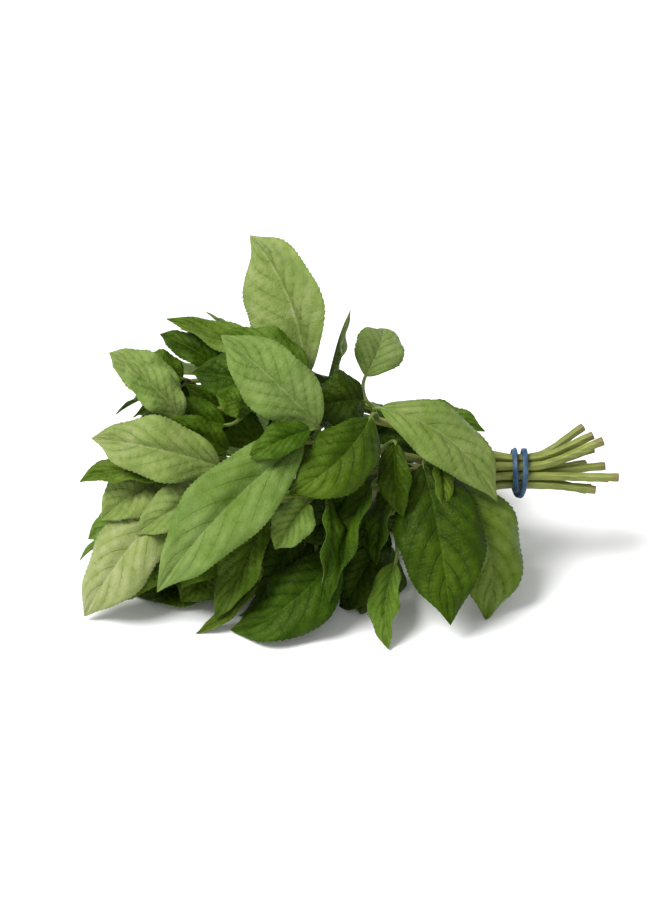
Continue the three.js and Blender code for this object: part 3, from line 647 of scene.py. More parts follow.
STEM_PITCH = 1.88  # half the distance between two stems that touch, in the band
INNER_RING = 1.17  # the two rings of stems in the band, in pitches from its middle
OUTER_RING = 3.05
BAND_HOLD = 6  # how far to each side of the band's middle the stems run straight
STEM_THINNING = 0.5  # the thickness left at the tip
STEM_STEPS = 2  # the solid's steps between two joints
FIRST_JOINT = 3  # its index among a stem's points
STEM_SPACING = 1.6  # between the points of the fine stem
SQUARE_SHARE = 0.8  # half the side of the fine square stem, as a share of its solid's half-width
JOINT_SWELLING, JOINT_REACH = 0.16, 2.2  # how much thicker it is at a joint, and how near to it
STEM_SWELLING, STEM_TURN = 0.04, 0.9  # its unevenness, and how fast that changes, in radians per mm
LAST_HALF = 0.5  # how much of the thickness is left at the last point
CUT_SIDES = 20
CUT_LIFT = 0.06  # how far a cut end stands out of its stem
SQUARENESS = 5  # the power of its outline: 2 is round, and more is squarer


def through(knots: Array, lengths: Array, fine: Array) -> Array:
    """Gives points on a smooth curve through knots that are unevenly spaced.

    Args:
        knots: the points that it runs through.
        lengths: how far along the line each of them is.
        fine: how far along the line the points to give are.

    Returns:
        The points.
    """
    steps = np.diff(lengths)[:, None]
    slopes = np.diff(knots, axis=0) / steps
    inner = (slopes[:-1] * steps[1:] + slopes[1:] * steps[:-1]) / (steps[1:] + steps[:-1])
    tangents = np.vstack([slopes[:1], inner, slopes[-1:]])
    index = np.clip(np.searchsorted(lengths, fine, side="right") - 1, 0, len(steps) - 1)
    step = steps[index]
    u = (fine[:, None] - lengths[index][:, None]) / step
    start, start_way = 2 * u ** 3 - 3 * u ** 2 + 1, u ** 3 - 2 * u ** 2 + u
    end, end_way = 3 * u ** 2 - 2 * u ** 3, u ** 3 - u ** 2
    return (start * knots[index] + start_way * step * tangents[index]
            + end * knots[index + 1] + end_way * step * tangents[index + 1])


@dataclass(frozen=True)
class Stem:
    """One stem of the bunch.

    seat is in degrees round the bundle, and inner stems fill its middle. cut is how far past the band it
    was cut, drift where the cut end has spread to, and joints where its pairs of leaves grow.
    """

    seat: float
    inner: bool
    half: float
    cut: float
    drift: tuple[float, float]
    joints: tuple[tuple[float, float, float], ...]

    def points(self) -> Array:
        """Gives the points that it runs through.

        Returns:
            Its cut end, two points in the band, and its joints.
        """
        radius = STEM_PITCH * (INNER_RING if self.inner else OUTER_RING)
        angle = math.radians(self.seat)
        rise, out = radius * math.sin(angle), radius * math.cos(angle)
        cut_end = (self.cut, rise + self.drift[0], out + self.drift[1])
        return place([cut_end, (BAND_HOLD, rise, out), (-BAND_HOLD, rise, out), *self.joints])

    def at(self, count: float) -> Array:
        """Gives the point on a smooth curve through its points, at a count of points from the cut end.

        Args:
            count: the count, which may lie between two points.

        Returns:
            The point.
        """
        points = self.points()
        last = len(points) - 1
        index = min(int(count), last - 1)
        t = count - index
        before, after = points[max(index - 1, 0)], points[min(index + 2, last)]
        return (before * (-t ** 3 + 2 * t * t - t) + points[index] * (3 * t ** 3 - 5 * t * t + 2)
                + points[index + 1] * (-3 * t ** 3 + 4 * t * t + t) + after * (t ** 3 - t * t)) / 2

    def path(self) -> Path:
        """Gives its line for the sweep: smooth through the solid's own knots, and uneven in thickness.

        Returns:
            The line and its half-widths.
        """
        last = FIRST_JOINT + len(self.joints) - 1
        counts = np.array([0.0, 1.0, *np.arange(2, last + 0.01, 1 / STEM_STEPS)])
        knots = np.array([self.at(count) for count in counts])
        steps = np.linalg.norm(np.diff(knots, axis=0), axis=1)
        lengths = np.concatenate([[0], np.cumsum(steps)])
        fine = np.arange(0, lengths[-1], STEM_SPACING)
        line = through(knots, lengths, fine)
        done = np.interp(fine, lengths, counts) / last
        halves = SQUARE_SHARE * self.half * (1 - (1 - STEM_THINNING) * done ** 2)
        for joint in self.joints:
            near = np.linalg.norm(line - place(joint), axis=1)
            halves *= 1 + JOINT_SWELLING * np.exp(-(near / JOINT_REACH) ** 2)
        halves *= 1 + STEM_SWELLING * np.sin(STEM_TURN * fine + self.seat)
        halves[-1] *= LAST_HALF
        return Path(line, halves)


STEMS = (
    Stem(60, False, 1.75, 29, (9.3, 3),
         ((-30, 12, 8), (-57, 20, 14), (-84, 25, 16), (-108, 25, 18), (-128, 24, 17))),
    Stem(20, False, 1.8, 32.5, (10, 5),
         ((-30, 3, 10), (-56, 8, 17), (-84, 12, 21), (-110, 5, 22), (-130, 2, 20))),
    Stem(340, False, 1.7, 38.5, (-0.5, 6),
         ((-26, -4, 9), (-52, -7, 14), (-80, -10, 19), (-106, -12, 21), (-128, -11, 18))),
    Stem(300, False, 1.75, 30, (-2.5, 3),
         ((-28, -9, 5), (-54, -17, 8), (-82, -25, 10), (-108, -28, 11), (-130, -27, 9))),
    Stem(260, False, 1.6, 29, (-1, -1),
         ((-28, -11, -3), (-56, -18, -5), (-84, -24, -6), (-110, -27, -6), (-132, -27, -4))),
    Stem(220, False, 1.75, 28, (-4, -6),
         ((-28, -8, -9), (-54, -12, -17), (-80, -15, -25), (-106, -18, -27), (-126, -19, -26))),
    Stem(180, False, 1.65, 28, (3, -8),
         ((-28, 1, -12), (-54, 2, -24), (-82, 3, -32), (-108, 3, -34), (-128, 4, -32))),
    Stem(140, False, 1.8, 30, (6, -6),
         ((-26, 9, -9), (-52, 18, -17), (-80, 25, -23), (-104, 28, -24), (-126, 30, -21))),
    Stem(100, False, 1.7, 26, (12, -2),
         ((-30, 13, 0), (-60, 26, 0), (-86, 33, 0), (-112, 36, 0), (-132, 36, 1))),
    Stem(0, True, 1.7, 34, (2, 2),
         ((-32, 1, 3), (-62, 0, 6), (-92, 1, 9), (-120, 0, 11), (-142, 1, 11))),
    Stem(120, True, 1.65, 30, (7, 0),
         ((-32, 3, -2), (-62, 9, -4), (-92, 14, -6), (-120, 17, -6), (-142, 19, -4))),
    Stem(240, True, 1.7, 36, (-1, -2),
         ((-32, -4, -2), (-62, -7, -6), (-90, -9, -10), (-118, -11, -10), (-140, -13, -7))),
)

# ---- leaves ----

# The form of the solid's leaves, which the fine ones follow.
REST_HEIGHT = 0.35  # the middle of a blade that lies on the surface
REST_SOFTNESS = 1.6  # how gently a blade settles on it
LAYING_REACH = 1.3  # how high above the surface a blade starts to turn flat, in half-widths
BLADE_START = 0.03  # where the stalk ends, as a share of the blade's length
LEAST_HALF = 0.4  # half the width of a blade's tip
TOOTH = 0.05  # depth of a tooth, as a share of half the width
OTHER_EDGE = 0.4  # how far the ripple of one edge is ahead of the other's, in waves
BLADE_THICKNESS = 0.8
RIB_DEPTH = 0.5
BASE_LIFT = 0.35  # how much of the tip's lift its base takes, where a leaf is bent clear
WIDEST = 3.211  # brings the outline to 1 where it is widest
TWIST_FROM = 0.4  # the share of the length at which a twisted blade isn't turned
FOLD_OPENS = 0.5  # how much of its fold a blade has lost at its tip
CREASE = 0.15  # how far from the midrib the fold is rounded, in half-widths
RIPPLE_HALF = 6  # the half-width from which the edges ripple in full
TANGENT_STEP = 0.01

# The edge of a fine blade. Its teeth are alike in spacing and not in size.
TOOTH_SPACING = 2.1
EDGE_LENGTH = 1.15  # as a share of the blade's length
LEAST_TEETH = 6
TOOTH_ROWS = 4  # rows of points in each tooth
FIRST_ROW = 0.004  # where the rows start, as a share of the length
TIP_NARROWING = 0.3  # how much narrower the tip is than the solid's
TOOTH_DEPTH, TOOTH_GROWTH = 0.1, 0.028  # its least depth, and how it grows with the half-width
MOST_DEPTH = 0.5
EDGE_SWAY, EDGE_WAVES = 0.05, 2.2  # how uneven the outline is, in half-widths, and its waves
EDGE_POWER = 6  # how close to the edge the teeth stay
COLUMN_POWER = 1.4  # how much closer the columns are at the midrib

# The relief of a fine blade. Heights are in millimetres.
QUILT, QUILT_POWER = 1.4, 0.5  # how high it swells between veins, and how sharp the furrows are
QUILT_HALF = 12  # the half-width from which it swells in full
PUCKER = 0.55  # slow folds across the quilting, as a share of its height
CROWN = 0.09  # how far each half bulges, in half-widths
GRAIN = 0.1
MIDRIB_SINKS, MIDRIB_REACH = 0.4, 0.9  # how deep the midrib lies, and how far from it the blade sinks
HALF_THICKNESS, EDGE_THINNING = 0.19, 0.09  # at the midrib, and how much less at the edges
END_THICKNESS = 0.35  # the share of it that is left at the base and the tip
LEAST_HEIGHT, LEAST_UNDER = 0.25, 0.02  # of its middle layer and of its underside, above the surface

# The stalk, and the midrib that it turns into under the blade.
YOUNG_STALK = 0.8  # its thickness, as a share of an older one's
STALK_HALF, STALK_SWELLING = 0.72, 0.3  # half its thickness, and how much more at its root
RIB_HALF, RIB_TIP = 0.55, 0.06  # how much half the midrib's thickness falls, and what is left at its tip
RIB_SHOWS = 0.6  # how much of it stands out under the blade
RIB_END = 0.96  # where it ends, as a share of the blade's length
STALK_POINTS, RIB_POINTS = 10, 8


class Size(Enum):
    """How large a leaf is: the steps of its solid, and how finely its blade is divided across."""

    LARGE = (9, 8)
    MIDDLE = (6, 6)
    YOUNG = (4, 5)


LARGE, MIDDLE, YOUNG = Size


class Bend(NamedTuple):
    """A way to bend a leaf clear: its tip's lift and swing, and how much of its size is left."""

    lift: float
    swing: float
    size: float = 1


BENDS = tuple(Bend(*row) for row in (
    (0, 0), (3, 0), (-3, 0), (6, 0), (-6, 0), (0, 6), (0, -6), (9, 0), (-9, 0), (5, 8),
    (5, -8), (-5, 8), (-5, -8), (13, 0), (-13, 0), (10, 12, 0.95), (10, -12, 0.95), (-10, 12, 0.95),
    (-10, -12, 0.95), (18, 0, 0.9), (-18, 0, 0.9), (0, 0, 0.75), (7, 8, 0.75), (7, -8, 0.75),
    (-7, 8, 0.75), (-7, -8, 0.75), (14, 0, 0.7), (-14, 0, 0.7), (0, 14, 0.7), (0, -14, 0.7)))


def outline(t: Array) -> Array:
    """Gives the half-width of a basil leaf along its length, as a share of its widest."""
    return WIDEST * t ** 0.75 * (1 - t) ** 0.95


def settle(z: Array) -> Array:
    """Brings heights below the resting height up to the surface.

    Args:
        z: the heights.

    Returns:
        The heights, none of them lower than the resting height.
    """
    above = (z - REST_HEIGHT) / REST_SOFTNESS
    far = 20  # from here on the rule leaves a height as it is
    settled = REST_HEIGHT + REST_SOFTNESS * np.log1p(np.exp(np.minimum(above, far)))
    return np.where(above > far, z, settled)


def grid(*parts: Any) -> Array:
    """Gives one row of numbers for each point of a blade, from arrays that spread over its points."""
    return np.stack(np.broadcast_arrays(*parts), axis=-1).reshape(-1, len(parts))


@dataclass(frozen=True)
class Leaf:
    """One leaf of a stem, as its solid has it.

    root is where it grows, base and tip are the ends of its blade, and face points out of its upper side.
    arch, sway and curl are shares of its length, fold and twist are in degrees, and wave is the height of
    the ripple along its edges. A negative fold turns the edges down, in a smooth curve. tone runs from 0,
    the darkest green, to 1, the palest, and fade is added to it towards the tip. tone is partly the leaf's
    own colour and partly painted light and shade: leaves deep in the bunch have dark tones for the shade
    there, and a few shadowed ones have paler tones that make up for their shadow.
    """

    stem: int
    joint: int
    side: int
    root: Array
    base: Array
    tip: Array
    width: float
    face: Array
    tone_and_shade: float
    fade: float = 0.0
    arch: float = 0.1
    sway: float = 0.0
    curl: float = 0.0
    fold: float = 14.0
    twist: float = 0.0
    wave: float = 1.2
    waves: float = 2.5
    phase: float = 0.0
    size: Size = LARGE

    @property
    def spot(self) -> tuple[int, int, int]:
        """Its stem, joint and side."""
        return self.stem, self.joint, self.side

    @property
    def length(self) -> float:
        """The distance from its base to its tip."""
        return float(np.linalg.norm(self.tip - self.base))

    def half_width(self, t: Array) -> Array:
        """Gives half its width at shares of its length, which is never quite nothing at its ends."""
        return self.width / 2 * outline(np.clip(t, 0.02, 0.995))

    def axes(self) -> tuple[Array, Array, Array]:
        """Gives its own directions.

        Returns:
            Its chord from base to tip, its face square to that, and the side square to both.
        """
        chord = self.tip - self.base
        along = unit(chord)
        face = unit(self.face - along * (self.face @ along))
        return chord, face, np.cross(along, face)

    def bent(self, bend: Bend) -> "Leaf":
        """Bends the leaf.

        Args:
            bend: how to bend it.

        Returns:
            The bent leaf.
        """
        chord, face, side = self.axes()
        return replace(self, base=self.base + face * (BASE_LIFT * bend.lift), width=self.width * bend.size,
                       tip=self.base + chord * bend.size + face * bend.lift + side * bend.swing)

    def midrib(self, t: Array) -> Array:
        """Gives the line of its midrib.

        Args:
            t: shares of its length.

        Returns:
            The points there, none of them under the surface.
        """
        chord, face, side = self.axes()
        t = t[:, None]
        bulge = 4 * t * (1 - t) * self.length
        points = (self.base + chord * t + side * (self.sway * bulge)
                  + face * (self.arch * bulge - self.curl * self.length * t ** 3))
        points[:, 2] = settle(points[:, 2])
        return points

    def directions(self, t: Array) -> tuple[Array, Array, Array, Array]:
        """Gives the midrib and the blade's own directions at shares of its length.

        Args:
            t: the shares.

        Returns:
            The midrib's points, its tangents, the face's directions and those across the blade.
        """
        here = self.midrib(t)
        tangent = unit(self.midrib(t + TANGENT_STEP) - self.midrib(t - TANGENT_STEP))
        _, front, side = self.axes()
        turn = np.radians(self.twist) * (t - TWIST_FROM)[:, None]
        face = front * np.cos(turn) + side * np.sin(turn)
        # where the blade comes down to the surface, it turns flat on it
        laid = np.clip(1 - (here[:, 2] - REST_HEIGHT) / (LAYING_REACH * self.half_width(t) + 1), 0, 1)
        face = face + (UP * np.where(face[:, 2:] < 0, -1, 1) - face) * laid[:, None]
        face = unit(face - tangent * dot(face, tangent))
        return here, tangent, face, np.cross(tangent, face)

    def layer(self, t: Array, v: Array, halves: Array) -> tuple[Array, Array]:
        """Gives the middle layer of the blade.

        Args:
            t: shares of its length.
            v: places across it, from -1 at one edge to 1 at the other.
            halves: half its width at each share of its length.

        Returns:
            The points, by length and then across, and the directions square out of the layer.
        """
        here, _, face, across = (values[:, None] for values in self.directions(t))
        v = v[None, :, None]
        t = t[:, None, None]
        halves = halves[:, None, None]
        fold = np.radians(self.fold) * (1 - FOLD_OPENS * t)
        ripple = np.sin(2 * np.pi * (self.waves * t + np.where(v > 0, 0, OTHER_EDGE) + self.phase))
        shape = v * v if self.fold < 0 else np.abs(v)
        lean = 2 * v if self.fold < 0 else np.clip(v / CREASE, -1, 1)
        rippled = self.wave * ripple * v * v * np.minimum(halves / RIPPLE_HALF, 1)
        lift = halves * shape * np.sin(fold) + rippled
        points = here + across * (halves * v * np.cos(fold)) + face * lift
        return points, unit(face * np.cos(fold) - across * (lean * np.sin(fold)))

    def coarse(self) -> Array:
        """Gives the corners of its solid's blade.

        Returns:
            The points on its upper side, and then those on its underside.
        """
        steps = self.size.value[0]
        step = np.arange(steps + 1)
        t = BLADE_START + (1 - BLADE_START) * (step / steps) ** 0.9
        tooth = np.where((step > 0) & (step < steps), 1 + TOOTH * np.where(step % 2, 1, -1), 1.0)
        halves = np.maximum(self.half_width(t) * tooth, LEAST_HALF)
        points, _ = self.layer(t, np.array((-1.0, 0.0, 1.0)), halves)
        face = self.directions(t)[2][:, None]
        rib = (RIB_DEPTH * (1 - t))[:, None, None] * np.array((0, 1, 0))[:, None]
        upright = face[..., 2] >= 0
        top = points + face * (BLADE_THICKNESS / 2)
        top[..., 2] = np.maximum(top[..., 2], np.where(upright, BLADE_THICKNESS, 0))
        bottom = points - face * (BLADE_THICKNESS / 2 + rib)
        bottom[..., 2] = np.maximum(bottom[..., 2], np.where(upright, 0, BLADE_THICKNESS))
        return np.concatenate([top.reshape(-1, 3), bottom.reshape(-1, 3)])

    def relief(self, t: Array, v: Array, halves: Array) -> Array:
        """Gives how far the blade swells between its veins, and sinks along its midrib.

        Args:
            t: shares of its length, as a column.
            v: places across it, as a row.
            halves: half its width, as a column.

        Returns:
            The heights.
        """
        turn = (t - VEIN_RUN * np.abs(v) ** VEIN_BEND) * VEIN_PAIRS + np.where(v > 0, VEIN_LEAD, 0)
        # the swelling fades out at the midrib and the edges, and at the base and the tip
        middle = smooth(0.03, 0.3, np.abs(v)) * (1 - smooth(0.6, 1.0, np.abs(v)))
        full = QUILT * np.minimum(halves / QUILT_HALF, 1) * smooth(0.02, 0.2, t) * (1 - smooth(0.8, 1.0, t))
        quilt = np.abs(np.sin(np.pi * turn)) ** QUILT_POWER * middle * full
        crown = CROWN * halves * (np.abs(v) - v * v)
        # the numbers in these waves only set how fast each of them runs along and across the blade
        grain = GRAIN * np.sin(5.1 * turn + 9 * v) * np.sin(11 * v + 23 * t + 6 * self.phase) * middle
        slow = np.sin(10 * t + 5 * v + 7 * self.phase + np.where(v > 0, 2, 0))
        sunk = MIDRIB_SINKS * np.exp(-(v * halves / MIDRIB_REACH) ** 2)
        return quilt + crown + grain + PUCKER * slow * middle * full - sunk

    def edge(self, step: Array, seed: float) -> tuple[Array, Array, Array]:
        """Gives the toothed edge of the fine blade.

        Args:
            step: the numbers of its rows, from 0 at its base to the last at its tip.
            seed: a number from 0 to 1 that sets how its teeth differ from others'.

        Returns:
            For each row, its share of the length, half its width, and how far its tooth stands out.
        """
        t = FIRST_ROW + (1 - FIRST_ROW) * step / step[-1]
        narrowing = 1 - TIP_NARROWING * smooth(0.78, 0.97, t)
        bare = self.width / 2 * outline(np.minimum(t, 0.9995)) * narrowing
        depth = np.minimum(TOOTH_DEPTH + TOOTH_GROWTH * bare, MOST_DEPTH)
        depth = depth * smooth(0.1, 0.3, t) * (1 - 0.5 * smooth(0.9, 1, t))
        # each tooth slants towards the tip, and some are up to three times as deep as others
        uneven = 0.45 + 0.9 * np.sin(step // TOOTH_ROWS * 2.4 + 6.28 * seed) ** 2
        return t, bare, depth * uneven * ((step % TOOTH_ROWS) / (TOOTH_ROWS - 1) - 0.6)

    def blade(self, seed: float) -> Shell:
        """Builds the blade: toothed at its edges, quilted between its veins, and closed all round.

        Args:
            seed: a number from 0 to 1 that sets how its teeth and its colour differ from others'.

        Returns:
            The blade.
        """
        teeth = max(int(EDGE_LENGTH * self.length / TOOTH_SPACING), LEAST_TEETH)
        rows = TOOTH_ROWS * teeth
        t, bare, tooth = self.edge(np.arange(rows + 1), seed)
        columns = self.size.value[1]
        s = np.arange(-columns, columns + 1) / columns
        v = np.sign(s) * np.abs(s) ** COLUMN_POWER
        points, normals = self.layer(t, v, bare)
        column, half = t[:, None], bare[:, None]
        across = self.directions(t)[3][:, None]
        sway = EDGE_SWAY * half * np.sin(2 * np.pi * (EDGE_WAVES * column + 3 * seed + 0.3 * np.sign(v)))
        near_edge = (np.abs(v) ** EDGE_POWER * np.sign(v))[:, None]
        points = points + across * near_edge * (tooth[:, None] + sway)[..., None]
        height = self.relief(column, v[None, :], np.maximum(half, 0.3))
        middle = points + normals * height[..., None]
        middle[..., 2] = np.maximum(middle[..., 2], LEAST_HEIGHT)
        inside = smooth(0, 0.04, column) * (1 - smooth(0.97, 1, column))
        thick = HALF_THICKNESS - EDGE_THINNING * np.abs(v) ** 3
        thick = thick * (END_THICKNESS + (1 - END_THICKNESS) * inside)
        top = middle + normals * thick[..., None]
        bottom = middle - normals * thick[..., None]
        bottom[..., 2] = np.maximum(bottom[..., 2], LEAST_UNDER)
        count = len(v)
        ring = np.concatenate([top, bottom[:, ::-1]], axis=1)
        size = 2 * count
        faces = ring_faces(0, rows + 1, size)
        faces.append(tuple(reversed(range(size))))
        faces.append(tuple(range(rows * size, (rows + 1) * size)))
        way = np.concatenate([v, v[::-1]])
        under = np.repeat((0.0, 1.0), count)
        flat = grid(way * half / FLAT_UNIT + seed, column * self.length / FLAT_UNIT)
        leaf = grid(self.tone_and_shade + self.fade * column, under, seed)
        return Shell(ring.reshape(-1, 3), faces, grid(0.5 + 0.5 * way, column), flat, leaf)

    def stalk(self) -> Path:
        """Gives the line of its stalk, which runs on under the blade as its midrib.

        Returns:
            The line and its half-widths.
        """
        t = np.linspace(BLADE_START, RIB_END, RIB_POINTS + self.size.value[0])
        here, tangent, face, _ = self.directions(t)
        reach = float(np.linalg.norm(here[0] - self.root))
        bend = here[0] - tangent[0] * (0.5 * reach)
        u = np.linspace(0, 1, STALK_POINTS)[:-1, None]
        start = self.root * (1 - u) ** 2 + bend * (2 * u * (1 - u)) + here[0] * u * u
        scale = YOUNG_STALK if self.size is YOUNG else 1.0
        ribs = scale * (RIB_HALF * (1 - t) ** 0.8 + RIB_TIP)
        depth = MIDRIB_SINKS + RIB_SHOWS * ribs
        line = here - face * depth[:, None]
        line[:, 2] = np.maximum(line[:, 2], ribs + LEAST_UNDER)
        start = start - face[0] * depth[0] * u ** 2
        thick = scale * (STALK_HALF + STALK_SWELLING * (1 - u[:, 0]) ** 3)
        return Path(np.vstack([start, line]), np.concatenate([thick, ribs]))


def lay(stem: int, joint: int, side: int, base: tuple, tip: tuple, width: float, face: tuple,
        tone_and_shade: float, size: Size = MIDDLE, **form: float) -> Leaf:
    """Lays one listed leaf.

    Args:
        stem: the stem that it grows on.
        joint: the joint of that stem.
        side: 0 or 1 for the joint's pair, and more for its side shoots.
        base: where its blade starts, as (along, rise, out).
        tip: where its blade ends.
        width: how wide it is.
        face: the way that its upper side faces.
        tone_and_shade: how pale it is, partly its own colour and partly painted light and shade.
        size: how large it is.
        form: its arch, fold and so on.

    Returns:
        The leaf.
    """
    return Leaf(stem, joint, side, place(STEMS[stem].joints[joint]), place(base), place(tip), width,
                direction(face), tone_and_shade, size=size, **form)


